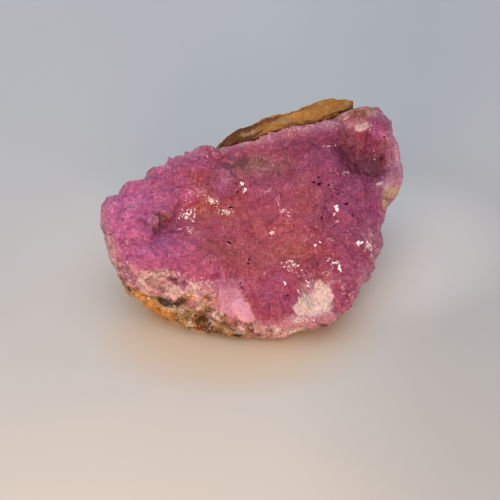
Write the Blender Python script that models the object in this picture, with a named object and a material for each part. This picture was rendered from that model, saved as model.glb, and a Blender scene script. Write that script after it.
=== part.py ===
"""Cobaltoan calcite specimen: a crust of pink calcite crystals grown on a lump of host rock.

The crystal face is a tilted oval. Its own frame has u to the right, v up the slope and w out of the
face, and both pieces are closed grids of rings round the face's centre. Lengths are in millimetres
until a mesh is made, and the finished object is in metres, +Z up, standing on Z = 0.
"""

import itertools
import math

import bpy
import numpy as np

METRES = 0.001

# The crystal face: its centre above the floor, how steeply its normal rises, and its turn to the right.
FACE_CENTRE = np.array([0.64, -6.19, 20.0])
FACE_RISE = math.radians(60.0)
FACE_TURN = math.radians(12.0)

CRUST_THICKNESS = 7.0
SEAM_GAP = 0.3
DEEPEST_PIT = -4.6

# How far the face falls toward its edge, and the power of the share of the way that it follows.
RIM_DROP = 2.0
RIM_POWER = 9

# Ripples of the face, of the broken edge and of the rock's wall: height, cell size and seed.
FACE_RIPPLES = ((0.8, 6.0, 1), (0.35, 2.6, 2))
EDGE_RIPPLES = ((1.1, 3.4, 3),)
WALL_RIPPLES = ((1.3, 7.0, 4), (0.7, 3.2, 5))

# Where the crust's rings lie, as shares of the way out to the edge, down it, and back under.
FACE_SHARES = (0, 0.14, 0.3, 0.46, 0.6, 0.73, 0.85, 0.94, 1.0)
EDGE_SHARES = (0.25, 0.5, 0.75, 1.0)
UNDER_SHARES = (0.6, 0.25, 0)

# The crust's outline round the face's centre: angle in degrees, radius of the crystal edge, and
# radius of the underside, which is wider where the edge broke off at a slope.
CRUST_EDGE = (
    (0, 31.4, 30.4), (4, 34.0, 32.0), (8, 36.2, 34.0), (14, 38.2, 37.0), (20, 39.7, 38.8),
    (26, 40.6, 39.4), (30, 42.2, 40.4), (36, 42.0, 40.6), (42, 37.2, 36.2), (46, 32.8, 31.8),
    (53, 29.0, 28.0),
    (61, 26.0, 25.0), (70, 24.0, 23.0), (78, 21.8, 20.9), (95, 20.5, 19.7), (106, 20.6, 20.0),
    (113, 21.6, 21.0), (121, 22.0, 21.4), (130, 23.6, 23.0), (141, 25.8, 25.0), (152, 29.2, 28.6),
    (161, 33.0, 32.6), (168, 34.8, 34.6), (176, 34.2, 34.1), (188, 32.0, 32.7), (194, 29.4, 32.2),
    (199, 23.9, 29.6), (207, 21.2, 26.6), (216, 19.2, 24.0), (225, 18.4, 22.7), (237, 17.5, 22.6),
    (250, 17.6, 23.8), (256, 18.9, 23.5), (262, 23.1, 24.1), (272, 24.2, 25.5), (286, 25.8, 25.0),
    (296, 28.2, 27.2), (310, 29.2, 28.2), (318, 28.0, 27.2), (328, 28.6, 27.6), (340, 29.6, 28.6),
    (346, 30.0, 29.0), (350, 29.6, 28.6), (355, 30.4, 29.4),
)

# The host rock's shoulder round the crust: angle, radius, and height in w. It stands up as an ochre
# ledge behind the crust's top edge, and as a small ear on the right.
ROCK_SHOULDER = (
    (0, 30.2, -7.3), (5, 31.8, -7.3), (10, 34.0, -7.3), (16, 36.4, -7.3), (34, 39.6, -7.3),
    (42.6, 39.8, -7.3), (43.6, 39.5, -1.4), (45, 38.9, -1.4), (50, 37.0, -1.2), (55, 34.2, -1.3),
    (60, 31.0, -1.6),
    (66, 29.2, -1.8), (79, 25.7, -2.0), (87, 24.1, -2.4), (97, 22.5, -3.6), (106, 21.0, -7.3),
    (121, 21.6, -7.3), (141, 25.4, -7.3), (152, 28.8, -7.3), (161, 32.6, -7.3), (176, 33.6, -7.3),
    (188, 32.6, -7.3), (194, 32.3, -7.3), (199, 30.0, -7.3), (207, 27.2, -7.3), (216, 24.6, -7.3),
    (225, 23.3, -7.3), (237, 23.0, -7.3), (250, 24.0, -7.3), (262, 24.2, -7.3), (272, 25.2, -7.3),
    (286, 24.4, -7.3), (310, 26.4, -7.3), (340, 27.6, -7.3), (356, 29.4, -7.3),
)

# The flat that the rock stands on, round the point under the face's centre: angle, radius, and how
# full the wall above it is, from 0 where it runs straight in to 1 where it bulges.
FOOT = (
    (0, 22.0, 0.1), (30, 27.5, 0.5), (60, 25.5, 0.8), (90, 21.5, 0.8), (120, 20.5, 0.8),
    (150, 23.4, 0.8), (165, 23.4, 0.5), (180, 21.8, 0.3), (188, 21.6, 0.3), (195, 22.4, 0.4),
    (205, 22.4, 0.6), (212, 21.2, 0.7), (221, 20.2, 0.8), (236, 17.6, 0.8), (245, 16.8, 0.7),
    (255, 15.2, 0.5), (270, 14.6, 0.3), (286, 15.2, 0.2), (308, 15.4, 0.1), (330, 17.5, 0.0),
    (345, 19.0, 0.0),
)

# Lobes, ridges, grooves and pits of the crystal face: a stretch from one (u, v) to another, with the
# radius over which it fades, and its height.
FACE_RELIEF = (
    (-30.0, 5.0, -27.0, -3.0, 7.0, 2.2),
    (-20.0, 13.5, -10.0, 17.0, 4.5, 1.7),
    (-22.8, 2.6, -19.6, 3.6, 3.2, -1.7),
    (-17.0, 4.8, -13.5, 5.5, 2.5, -1.2),
    (3.0, 14.6, 8.0, 13.0, 4.0, -1.6),
    (13.5, 7.5, 12.0, -3.0, 8.5, 2.2),
    (10.7, 19.9, 24.0, 15.8, 2.2, -1.4),
    (24.0, 15.5, 25.4, 11.0, 2.6, -1.0),
    (28.0, 13.6, 32.0, 12.2, 4.4, -3.8),
    (29.6, 9.6, 30.4, 12.0, 3.2, -1.4),
    (36.0, 18.0, 36.4, 6.0, 2.6, 1.8),
    (29.0, 22.6, 33.0, 20.8, 3.0, 1.4),
    (-5.5, 2.0, 0.0, -4.0, 6.5, -1.4),
    (6.0, -12.0, -2.0, -9.5, 6.5, 1.2),
    (-18.4, -4.6, -12.0, -8.0, 5.0, 1.4),
    (10.0, -20.5, 11.5, -17.0, 4.2, -2.0),
    (23.5, -9.0, 22.0, -16.0, 5.0, 0.9),
)

# Single crystals that stand out: u, v and w of the middle, radius across the axis, half length over
# radius, tilt of the axis from w, the direction it leans in, and a corner's turn from that direction.
# A tilt of about 50 degrees with no turn lays one flat face of the rhomb level with the crust.
LARGE_CRYSTALS = (
    (-31.0, 7.8, -2.0, 4.5, 0.95, 54, 140, 4),
    (-25.2, 12.3, -2.1, 4.3, 0.95, 50, 132, -6),
    (-19.4, 15.0, -2.2, 4.2, 0.92, 52, 136, 5),
    (-16.0, 17.3, -2.0, 2.1, 1.35, 40, 110, 30),
    (-13.4, 16.8, -2.2, 3.8, 0.92, 52, 104, -8),
    (-11.2, 18.8, -1.8, 1.7, 1.40, 36, 116, 10),
    (-7.8, 18.0, -2.1, 4.1, 0.95, 46, 94, 12),
    (-4.2, 16.2, -1.5, 2.6, 0.95, 36, 60, 20),
    (-5.7, 9.8, -1.8, 5.0, 0.90, 48, 83, 0),
    (-26.6, 3.0, -0.8, 5.0, 0.80, 44, 196, 10),
    (-19.4, 8.8, -1.2, 4.2, 0.85, 46, 120, -10),
    (-13.6, 10.4, -1.4, 3.9, 0.85, 40, 80, 8),
    (-25.4, -3.4, -1.6, 4.2, 0.80, 42, 230, 0),
    (17.0, 10.6, -0.6, 4.6, 0.74, 20, 60, 14),
    (12.6, 15.6, -1.6, 3.6, 0.80, 30, 110, 0),
    (20.6, -1.0, -0.6, 4.8, 0.74, 24, 340, 30),
    (15.8, -7.0, -0.8, 4.4, 0.74, 18, 300, 40),
    (-6.6, -18.0, -5.0, 4.6, 0.90, 14, 80, 0),
    (-10.6, -14.6, -3.2, 3.0, 0.85, 30, 70, 10),
    (26.0, -9.0, -2.6, 2.6, 0.95, 58, 330, 8),
    (23.0, -14.6, -2.8, 2.4, 0.95, 60, 325, -12),
    (18.2, -19.8, -3.0, 2.4, 0.95, 58, 312, 6),
    (33.0, 18.6, -1.9, 3.0, 0.90, 50, 30, 10),
    (30.2, 20.8, -1.8, 3.4, 0.90, 46, 60, -6),
)

# The crystals between them: how far apart, how far off their even pattern, the range of their
# radius, how deep each is rooted and how flat it is as shares of its radius, and how far it leans.
FIELD_SPACING = 4.5
FIELD_JITTER = 1.2
FIELD_RADIUS = (2.5, 4.6)
FIELD_ROOT = 0.62
FIELD_FLATNESS = (0.74, 1.0)
FIELD_TILT = 36.0
BLOCK_TILT = 48.0
FIELD_SEED = 11
FIELD_ROWS = 12
SMALLEST_CRYSTAL = 1.4

# Shares of the crystals that lie as level blocks, at the right and further to the left, and how
# strongly those and the leaning pyramids turn.
BLOCK_SHARE = (0.25, 0.70)
BLOCK_SHARE_SPAN = (0, -14)
TILT_SPREAD = 0.3
PYRAMID_LEAN = 0.6
BLOCK_SPIN = 0.15
LARGEST_SPIN = 60

# How far a crystal may reach past the crust's edge, and how near to the underside.
EDGE_REACH = 1.0
LEDGE_REACH = 0.1
LEDGE_START = (36, 40)
LEDGE_END = (110, 116)
ROOT_CLEARANCE = 0.8

RING_STEPS = 72
NOISE_CELLS = 32

# The rock round the crust: how far the seat reaches past the crust where the rock stands up, how
# narrow its rim may get, how far the seat stays inside the rim elsewhere, and the rim's inner slope.
SEAT_MARGIN = 1.1
NARROWEST_RIM = 0.8
SEAT_RING = 0.5
SEAT_INSET = 0.4
RIM_SLOPE = 0.3
RAISED_RIM = 0.3

# The rock's wall: where its rings lie as shares of the way down, the powers of that share that a
# straight and a full wall follow inward, and how far a full wall bulges.
WALL_SHARES = (0.1, 0.22, 0.35, 0.49, 0.63, 0.77, 0.9, 1.0)
STRAIGHT_POWER = 0.7
FULL_POWER = 1.8
WALL_BULGE = 0.11
ROUGH_FROM = 0.1
FOOT_SHARES = (0.6, 0.0)

# Flat breaks across the rock: the compass direction and rise of each break's normal, and its
# distance from the middle of the rock.
CORNER_CHIPS = (
    (60, -20, 27.0), (100, -20, 20.0), (125, -5, 20.6), (150, -12, 27.8), (172, -30, 31.0),
    (30, -25, 26.8), (345, -10, 24.5), (318, -12, 23.2), (44, -2, 33.0), (82, -38, 22.2),
)
ROCK_MIDDLE_HEIGHT = 12.0
ROCK_MIDDLE_BACK = 3.0


def clear_scene():
    for item in list(bpy.data.objects):
        bpy.data.objects.remove(item, do_unlink=True)


def face_axes():
    """Unit vectors of the face's frame: right, up the slope, and out of the face."""
    out = np.array(
        [
            math.cos(FACE_RISE) * math.sin(FACE_TURN),
            -math.cos(FACE_RISE) * math.cos(FACE_TURN),
            math.sin(FACE_RISE),
        ]
    )
    up_slope = np.array([0.0, 0.0, 1.0]) - out[2] * out
    up_slope /= np.linalg.norm(up_slope)
    return np.stack([np.cross(up_slope, out), up_slope, out])


def from_face(points):
    """Points (u, v, w) of the face's frame, as world points."""
    return points @ face_axes() + FACE_CENTRE


def around(table, angles):
    """Each column of a table of angle and values, read at the angles, in a closed loop."""
    rows = np.array(table, float)
    return [np.interp(angles, rows[:, 0], column, period=360) for column in rows[:, 1:].T]


def smooth(low, high, x):
    """0 below low, 1 above high, and an even S between them."""
    t = np.clip((x - low) / (high - low), 0, 1)
    return t * t * (3 - 2 * t)


def lattice_noise(points, cell, seed):
    """Random values from -1 to 1 on a cubic lattice of that cell size, blended between its corners."""
    table = np.random.default_rng(seed).uniform(-1, 1, (NOISE_CELLS,) * 3)
    scaled = points / cell
    corner = np.floor(scaled).astype(int)
    t = scaled - corner
    t = t * t * (3 - 2 * t)
    total = np.zeros(points.shape[:-1])
    for offset in itertools.product((0, 1), repeat=3):
        weight = np.prod(np.where(offset, t, 1 - t), axis=-1)
        index = np.moveaxis((corner + offset) % NOISE_CELLS, -1, 0)
        total += weight * table[tuple(index)]
    return total


def ripple(points, table):
    """The sum of lattice noises of a table of height, cell size and seed."""
    return sum(height * lattice_noise(points, cell, seed) for height, cell, seed in table)


def face_relief(u, v):
    """Height of the crystal face: the sum of a bell curve of the distance to each relief stretch."""
    height = np.zeros_like(u)
    for u1, v1, u2, v2, radius, rise in FACE_RELIEF:
        du, dv = u2 - u1, v2 - v1
        share = np.clip(((u - u1) * du + (v - v1) * dv) / (du * du + dv * dv), 0, 1)
        away = np.hypot(u - u1 - share * du, v - v1 - share * dv)
        height += rise * np.exp(-((away / radius) ** 2))
    return height


def face_height(u, v, share):
    """w of the crystal face, where share is 0 at its centre and 1 at its edge."""
    flat = np.stack([u, v, np.zeros_like(u)], axis=-1)
    height = face_relief(u, v)
    height += ripple(flat, FACE_RIPPLES) - RIM_DROP * share**RIM_POWER
    return np.maximum(height, DEEPEST_PIT)


def ring_mesh(name, rings):
    """A closed mesh through rings of points, whose first and last rings are single points."""
    count = rings.shape[1]
    points = np.concatenate([rings[0, :1], rings[1:-1].reshape(-1, 3), rings[-1, :1]])
    start = 1 + count * np.arange(rings.shape[0] - 2)
    here = np.arange(count)
    after = (here + 1) % count
    faces = [(0, int(a), int(b)) for a, b in zip(start[0] + here, start[0] + after)]
    for low, high in zip(start[:-1], start[1:]):
        quads = np.stack([low + here, high + here, high + after, low + after], axis=1)
        faces += [tuple(map(int, quad)) for quad in quads]
    last = len(points) - 1
    faces += [(last, int(b), int(a)) for a, b in zip(start[-1] + here, start[-1] + after)]
    mesh = bpy.data.meshes.new(name)
    mesh.from_pydata((points * METRES).tolist(), [], faces)
    mesh.update()
    return mesh


def crust_rings():
    """Rings of the crust: over the crystal face, down the broken edge, and back under to the middle."""
    angles = np.arange(RING_STEPS) * 360 / RING_STEPS
    turn = np.radians(angles)
    front, under = around(CRUST_EDGE, angles)
    rings = []
    for share in FACE_SHARES:
        u, v = front * share * np.cos(turn), front * share * np.sin(turn)
        rings.append(np.stack([u, v, face_height(u, v, np.full_like(u, share))], axis=1))
    rim = rings[-1]
    floor_of_crust = -CRUST_THICKNESS
    for fall in EDGE_SHARES:
        radius = front + (under - front) * fall
        u, v = radius * np.cos(turn), radius * np.sin(turn)
        step = np.stack([u, v, rim[:, 2] + (floor_of_crust - rim[:, 2]) * fall], axis=1)
        if fall < 1:
            bump = ripple(step, EDGE_RIPPLES)[:, None]
            step += bump * np.stack([np.cos(turn), np.sin(turn), np.zeros_like(turn)], axis=1)
        rings.append(step)
    for share in UNDER_SHARES:
        u, v = under * share * np.cos(turn), under * share * np.sin(turn)
        rings.append(np.stack([u, v, np.full_like(u, floor_of_crust)], axis=1))
    return from_face(np.array(rings))


def chip(points, azimuth, rise, distance):
    """Points beyond a plane are brought back onto it: a flat break across the rock."""
    a, e = math.radians(azimuth), math.radians(rise)
    out = np.array([math.cos(e) * math.cos(a), math.cos(e) * math.sin(a), math.sin(e)])
    middle = np.array([FACE_CENTRE[0], FACE_CENTRE[1] + ROCK_MIDDLE_BACK, ROCK_MIDDLE_HEIGHT])
    beyond = np.maximum((points - middle) @ out - distance, 0)
    return points - beyond[..., None] * out


def rock_rings():
    """Rings of the rock: the seat under the crust, the shoulder round it, the wall and the foot."""
    angles = np.arange(RING_STEPS) * 360 / RING_STEPS
    turn = np.radians(angles)
    front, under = around(CRUST_EDGE, angles)
    shoulder, shoulder_w = around(ROCK_SHOULDER, angles)
    seat = -CRUST_THICKNESS - SEAM_GAP
    raised = shoulder_w - seat > RAISED_RIM
    widest = np.maximum(front, under) + SEAT_MARGIN
    inner = np.where(raised, np.minimum(widest, shoulder - NARROWEST_RIM), shoulder - SEAT_INSET)
    foot, fullness = around(FOOT, angles)
    rings = []
    for radius, w in (
        (0 * inner, seat),
        (SEAT_RING * inner, seat),
        (inner, seat),
        (inner + RIM_SLOPE, shoulder_w),
        (shoulder, shoulder_w),
    ):
        u, v = radius * np.cos(turn), radius * np.sin(turn)
        rings.append(from_face(np.stack([u, v, np.broadcast_to(w, u.shape)], axis=1)))
    rim = rings[-1]
    outward = np.stack([np.cos(turn), np.sin(turn), np.zeros_like(turn)], axis=1)
    stand = FACE_CENTRE * (1, 1, 0) + foot[:, None] * outward
    for fall in WALL_SHARES:
        inward = (fall ** (STRAIGHT_POWER + (FULL_POWER - STRAIGHT_POWER) * fullness))[:, None]
        level = rim + (stand - rim) * np.concatenate([inward, inward, np.full_like(inward, fall)], axis=1)
        bulge = 1 + WALL_BULGE * math.sin(math.pi * fall) * fullness[:, None]
        level[:, :2] = FACE_CENTRE[:2] + (level[:, :2] - FACE_CENTRE[:2]) * bulge
        spread = level - [*FACE_CENTRE[:2], 0]
        spread[:, 2] = 0
        spread /= np.linalg.norm(spread, axis=1, keepdims=True)
        rough = ripple(level - FACE_CENTRE, WALL_RIPPLES)
        level += spread * (rough * math.sin(math.pi * min(fall + ROUGH_FROM, 1)))[:, None]
        for azimuth, rise, distance in CORNER_CHIPS:
            level = chip(level, azimuth, rise, distance)
        above_shoulder = np.maximum((level - FACE_CENTRE) @ face_axes()[2] - shoulder_w, 0)
        level -= above_shoulder[:, None] * face_axes()[2]
        level[:, 2] = np.maximum(level[:, 2], 0)
        rings.append(level)
    rings[-1][:, 2] = 0
    ground = rings[-1]
    for share in FOOT_SHARES:
        rings.append(FACE_CENTRE * (1, 1, 0) + (ground - FACE_CENTRE * (1, 1, 0)) * share)
    return np.array(rings)


def edge_reach(angles):
    """How far past the crust's edge a crystal may reach: hardly at all where the ledge stands."""
    beside_ledge = smooth(*LEDGE_START, angles) * smooth(*LEDGE_END[::-1], angles)
    return EDGE_REACH + (LEDGE_REACH - EDGE_REACH) * beside_ledge


def field_crystals():
    """Crystals over the whole face on a jittered hexagonal pattern, as low pyramids and level blocks."""
    random = np.random.default_rng(FIELD_SEED)
    steps = np.arange(-FIELD_ROWS, FIELD_ROWS + 1)
    row, column = np.meshgrid(steps, steps, indexing="ij")
    u = (column + 0.5 * (row % 2)) * FIELD_SPACING + random.uniform(-1, 1, row.shape) * FIELD_JITTER
    v = row * FIELD_SPACING * math.sqrt(0.75) + random.uniform(-1, 1, row.shape) * FIELD_JITTER
    u, v = u.ravel(), v.ravel()
    angle = np.degrees(np.arctan2(v, u)) % 360
    edge = around(CRUST_EDGE, angle)[0]
    away = np.hypot(u, v)
    flatness = random.uniform(*FIELD_FLATNESS, u.shape)
    smallest, largest = FIELD_RADIUS
    radius = smallest + (largest - smallest) * random.uniform(0, 1, u.shape) ** 1.5
    ground = face_height(u, v, np.minimum(away / edge, 1))
    room = (ground + CRUST_THICKNESS - ROOT_CLEARANCE) / (FIELD_ROOT + flatness)
    radius = np.minimum(np.minimum(radius, room), edge - away + edge_reach(angle))
    fewest, most = BLOCK_SHARE
    block = random.uniform(0, 1, u.shape) < fewest + (most - fewest) * smooth(*BLOCK_SHARE_SPAN, u)
    tilt = np.where(block, BLOCK_TILT, PYRAMID_LEAN * FIELD_TILT)
    tilt += random.uniform(-TILT_SPREAD, TILT_SPREAD, u.shape) * FIELD_TILT
    turn = random.uniform(0, 360, u.shape)
    spin = np.where(block, BLOCK_SPIN, 1) * random.uniform(-LARGEST_SPIN, LARGEST_SPIN, u.shape)
    rows = np.stack([u, v, ground - FIELD_ROOT * radius, radius, flatness, tilt, turn, spin], axis=1)
    return rows[(away < edge) & (radius > SMALLEST_CRYSTAL)]


def rhomb_points(rows):
    """Corners of calcite rhombs: an apex at each end of the axis, and three corners at each third.

    Roots that would come through the crust's underside are cut short.
    """
    corner = np.radians([0, 120, 240, 60, 180, 300])
    ring = np.stack([np.cos(corner), np.sin(corner), np.repeat([1 / 3, -1 / 3], 3)], axis=1)
    shape = np.concatenate([[[0, 0, 1]], ring, [[0, 0, -1]]])
    u, v, w, radius, flatness, tilt, turn, spin = rows.T
    tilt, turn, spin = np.radians(tilt), np.radians(turn), np.radians(spin)
    away = np.stack([np.cos(turn), np.sin(turn), 0 * turn], axis=1)
    across = np.stack([-np.sin(turn), np.cos(turn), 0 * turn], axis=1)
    up = np.array([0.0, 0.0, 1.0])
    axis = np.sin(tilt)[:, None] * away + np.cos(tilt)[:, None] * up
    fore = np.cos(tilt)[:, None] * away - np.sin(tilt)[:, None] * up
    first = np.cos(spin)[:, None] * fore + np.sin(spin)[:, None] * across
    second = np.cos(spin)[:, None] * across - np.sin(spin)[:, None] * fore
    frame = np.stack([first, second, axis * flatness[:, None]], axis=1) * radius[:, None, None]
    points = np.einsum("pk,nkc->npc", shape, frame) + np.stack([u, v, w], axis=1)[:, None]
    points[..., 2] = np.maximum(points[..., 2], ROOT_CLEARANCE - CRUST_THICKNESS)
    return points


def rhomb_mesh(rows):
    """All the rhombs of the rows in one mesh, as triangles."""
    faces = []
    for k in range(3):
        upper, lower, following = 1 + k, 4 + k, 1 + (k + 1) % 3
        faces += [(0, upper, lower), (0, lower, following)]
        before = 4 + (k + 2) % 3
        faces += [(7, lower, upper), (7, upper, before)]
    points = from_face(rhomb_points(rows))
    every = [tuple(8 * n + i for i in face) for n in range(len(points)) for face in faces]
    mesh = bpy.data.meshes.new("rhombs")
    mesh.from_pydata((points.reshape(-1, 3) * METRES).tolist(), [], every)
    mesh.update()
    return mesh


def material(name, colour, roughness):
    made = bpy.data.materials.new(name)
    made.use_nodes = True
    shader = made.node_tree.nodes["Principled BSDF"]
    shader.inputs["Base Color"].default_value = (*colour, 1)
    shader.inputs["Roughness"].default_value = roughness
    shader.inputs["Metallic"].default_value = 0.0
    return made


def add_object(name, mesh, finish=None):
    item = bpy.data.objects.new(name, mesh)
    bpy.context.scene.collection.objects.link(item)
    if finish:
        mesh.materials.append(finish)
    return item


def calcite_crust():
    """The crust with its crystals fused on by a union."""
    pink = material("pink_calcite", (0.52, 0.11, 0.24), 0.35)
    crust = add_object("calcite_crust", ring_mesh("calcite_crust", crust_rings()), pink)
    rows = np.concatenate([np.array(LARGE_CRYSTALS, float), field_crystals()])
    crystals = add_object("crystal_cutter", rhomb_mesh(rows))
    crystals.hide_render = True
    crystals.display_type = "WIRE"
    fuse = crust.modifiers.new("fuse_crystals", "BOOLEAN")
    fuse.operation = "UNION"
    fuse.object = crystals
    fuse.use_self = True
    return crust


def host_rock():
    """The rock under the crust, standing on its flat foot."""
    brown = material("weathered_rock", (0.30, 0.16, 0.06), 0.85)
    return add_object("host_rock", ring_mesh("host_rock", rock_rings()), brown)


def main():
    clear_scene()
    host_rock()
    calcite_crust()


main()
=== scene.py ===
"""Looks of the cobaltoan calcite specimen: the pink crystal crust, and the weathered rock it grew on.

The crystal face has a frame of its own, with u to the right, v up the slope and w out of the face.
Shapes are worked out in millimetres in that frame, or from the middle of the floor for the rock, and
become metres when a mesh is made. Colours that follow the form are kept as an attribute of the mesh,
and each finish adds the fine grain, growth lines and gloss.
"""

import functools
import itertools
import math

import bpy
import numpy as np
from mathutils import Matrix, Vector


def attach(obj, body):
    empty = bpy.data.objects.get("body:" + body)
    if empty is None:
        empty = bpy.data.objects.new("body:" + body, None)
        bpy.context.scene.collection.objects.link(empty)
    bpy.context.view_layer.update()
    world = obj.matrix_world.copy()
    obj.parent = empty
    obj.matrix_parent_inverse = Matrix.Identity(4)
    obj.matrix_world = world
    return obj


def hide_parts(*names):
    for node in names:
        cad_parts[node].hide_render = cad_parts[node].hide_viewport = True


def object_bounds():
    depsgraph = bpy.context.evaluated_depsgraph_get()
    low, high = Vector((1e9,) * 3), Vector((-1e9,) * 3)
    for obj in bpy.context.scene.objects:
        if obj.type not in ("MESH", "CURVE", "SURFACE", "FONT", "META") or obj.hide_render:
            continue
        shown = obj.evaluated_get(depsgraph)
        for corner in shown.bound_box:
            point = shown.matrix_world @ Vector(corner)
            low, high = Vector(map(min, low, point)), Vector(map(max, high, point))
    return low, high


bl_info = {
    "name": "Cobaltoan calcite specimen",
    "version": (1, 0, 0),
    "blender": (4, 5, 0),
    "location": "3D View > Sidebar > Calcite",
    "description": "Builds the crystal crust, the host rock and the stage of a calcite specimen",
    "category": "Object",
}

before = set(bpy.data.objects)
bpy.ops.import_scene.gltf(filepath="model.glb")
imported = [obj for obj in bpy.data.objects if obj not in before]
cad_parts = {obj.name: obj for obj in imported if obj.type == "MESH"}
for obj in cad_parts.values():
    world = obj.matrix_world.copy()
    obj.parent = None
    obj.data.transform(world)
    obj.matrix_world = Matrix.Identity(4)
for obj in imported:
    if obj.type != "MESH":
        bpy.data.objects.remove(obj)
CAD_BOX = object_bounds()

METRES = 0.001

# The crystal face: its centre above the floor, how steeply its normal rises, and its turn to the right.
FACE_CENTRE = np.array([0.64, -6.19, 20.0])
FACE_RISE = math.radians(60.0)
FACE_TURN = math.radians(12.0)

# Points along each side of the face's grid, rings of the broken edge and of the rock's wall, points
# round the rock, and the rings of the rock that carry grains.
FACE_COUNT = 269
EDGE_RINGS = 20
WALL_RINGS = 90
ROCK_STEPS = 620
GRAIN_RINGS = slice(32, -3)

# The crust's depth and its gap to the rock, how far the face drops at its edge, its deepest pit, and
# the furthest that facets push the broken edge out.
CRUST_THICKNESS = 7.0
SEAM_GAP = 0.3
RIM_DROP = 2.0
DEEPEST_PIT = -4.6
MOST_PUSH = 0.5

# The growth distance that says broken edge, the most that a crystal's face has, and what is added for
# crystals too small to have a pale edge.
BROKEN = 20.0
MOST_GROWTH = 5.0
EDGELESS = 1.0

# The crust's outline round the face's centre: angle in degrees, radius of the crystal edge, and
# radius of the underside, which is wider where the edge broke off at a slope.
CRUST_EDGE = (
    (0, 31.4, 30.4), (4, 34, 32), (8, 36.2, 34), (14, 38.2, 37), (20, 39.7, 38.8), (26, 40.6, 39.4),
    (30, 42.2, 40.4), (36, 42, 40.6), (42, 37.8, 36.8), (46, 33.4, 32.2), (53, 29, 28), (61, 26, 25),
    (70, 24, 23), (78, 21.8, 20.9), (95, 20.5, 19.7), (106, 20.6, 20), (113, 21.6, 21), (121, 22, 21.4),
    (130, 23.6, 23), (141, 25.8, 25), (152, 29.2, 28.6), (161, 33, 32.6), (168, 34.8, 34.6),
    (176, 34.2, 34.1), (188, 32, 32.7), (194, 29.4, 32.2), (199, 23.9, 29.6), (207, 21.2, 26.6),
    (216, 19.2, 24), (225, 18.4, 22.7), (237, 17.5, 22.6), (250, 17.6, 23.8), (256, 18.9, 23.5),
    (262, 23.1, 24.1), (272, 24.2, 25.5), (286, 25.8, 25), (296, 28.2, 27.2), (310, 29.2, 28.2),
    (318, 28, 27.2), (328, 28.6, 27.6), (340, 29.6, 28.6), (346, 30, 29), (350, 29.6, 28.6),
    (355, 30.4, 29.4),
)

# The stepped blocks of the outline's upper left: angle and radius of their corners.
BLOCK_STEPS = (
    (104, 21.4), (109, 22.8), (112, 23.3), (116, 23.5), (120.6, 23.2), (121.6, 24.3), (122.6, 23.4),
    (124.4, 23.6), (127.2, 24.9), (128.4, 24.8), (129.3, 24.8), (130.3, 26.2), (131.6, 25.6),
    (133.6, 25.4), (136.6, 25.2), (138.7, 26.7), (139.4, 27.5), (141, 27.8), (143, 28), (147.4, 27.3),
    (149.8, 29.1), (151.8, 31.1), (152.6, 31.8), (154.2, 32.1), (157, 31.8), (157.5, 32.7),
    (158.6, 33.9), (159.6, 35), (160.4, 35), (162.3, 35.3), (164.3, 35.4), (168, 35.1), (176, 34.2),
)

# The host rock's shoulder round the crust: angle and radius. It stands up as an ochre ledge behind
# the crust's top edge, and reaches out as a small ear on the right.
ROCK_SHOULDER = (
    (0, 30.2), (5, 31.8), (10, 34), (16, 36.4), (34, 39.6), (42.6, 39.8), (43.6, 39.5), (45, 38.9),
    (50, 37), (55, 34.2), (60, 31), (66, 29.2), (79, 25.7), (87, 24.5), (97, 22.9), (106, 21),
    (121, 21.6), (141, 25.4), (152, 28.8), (161, 32.6), (176, 33.6), (188, 32.6), (194, 32.3),
    (199, 30), (207, 27.2), (216, 24.6), (225, 23.3), (237, 23), (250, 24), (262, 24.2), (272, 25.2),
    (286, 24.4), (310, 26.4), (340, 27.6), (356, 29.4),
)

# The height in w of the shoulder, by angle: level with the seat under the crust but for the ledge.
SHOULDER_HEIGHT = (
    (42.6, -7.3), (43.6, -1.4), (45, -1.4), (50, -1.2), (55, -1.3), (60, -1.6), (66, -1.8), (79, -2),
    (87, -2.1), (97, -3.3), (106, -7.3),
)

# The flat that the rock stands on, round the point under the face's centre: angle, radius, and how
# full the wall above it is, from 0 where it runs straight in to 1 where it bulges.
FOOT = (
    (0, 22, 0.1), (30, 27.5, 0.5), (60, 25.5, 0.8), (90, 21.5, 0.8), (120, 20.5, 0.8), (150, 23.4, 0.8),
    (165, 23.4, 0.5), (180, 21.8, 0.3), (188, 21.6, 0.3), (195, 22.4, 0.4), (205, 22.4, 0.6),
    (212, 21.2, 0.7), (221, 20.2, 0.8), (236, 17.6, 0.8), (245, 16.2, 0.7), (255, 14.2, 0.5),
    (270, 13.4, 0.3), (286, 14.2, 0.2), (308, 15, 0.1), (330, 17.5, 0), (345, 19, 0),
)

# Lobes, ridges, grooves and pits of the crystal face: a stretch from one (u, v) to another, with the
# radius over which it fades, and its height.
FACE_RELIEF = (
    (-30.0, 5.0, -27.0, -3.0, 7.0, 2.2),
    (-20.0, 13.5, -10.0, 17.0, 4.5, 1.7),
    (-22.8, 2.6, -19.6, 3.6, 3.2, -1.7),
    (-17.0, 4.8, -13.5, 5.5, 2.5, -1.2),
    (3.0, 14.6, 8.0, 13.0, 4.0, -1.6),
    (13.5, 7.5, 12.0, -3.0, 8.5, 2.2),
    (10.7, 19.9, 24.0, 15.8, 2.2, -1.4),
    (24.0, 15.5, 25.4, 11.0, 2.6, -1.0),
    (28.0, 13.6, 32.0, 12.2, 4.4, -3.8),
    (29.6, 9.6, 30.4, 12.0, 3.2, -1.4),
    (36.0, 18.0, 36.4, 6.0, 2.6, 1.8),
    (29.0, 22.6, 33.0, 20.8, 3.0, 1.4),
    (-5.5, 2.0, 0.0, -4.0, 6.5, -1.4),
    (6.0, -12.0, -2.0, -9.5, 6.5, 1.2),
    (-18.4, -4.6, -12.0, -8.0, 5.0, 1.4),
    (10.0, -20.5, 11.5, -17.0, 4.2, -2.0),
    (23.5, -9.0, 22.0, -16.0, 5.0, 0.9),
)

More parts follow.
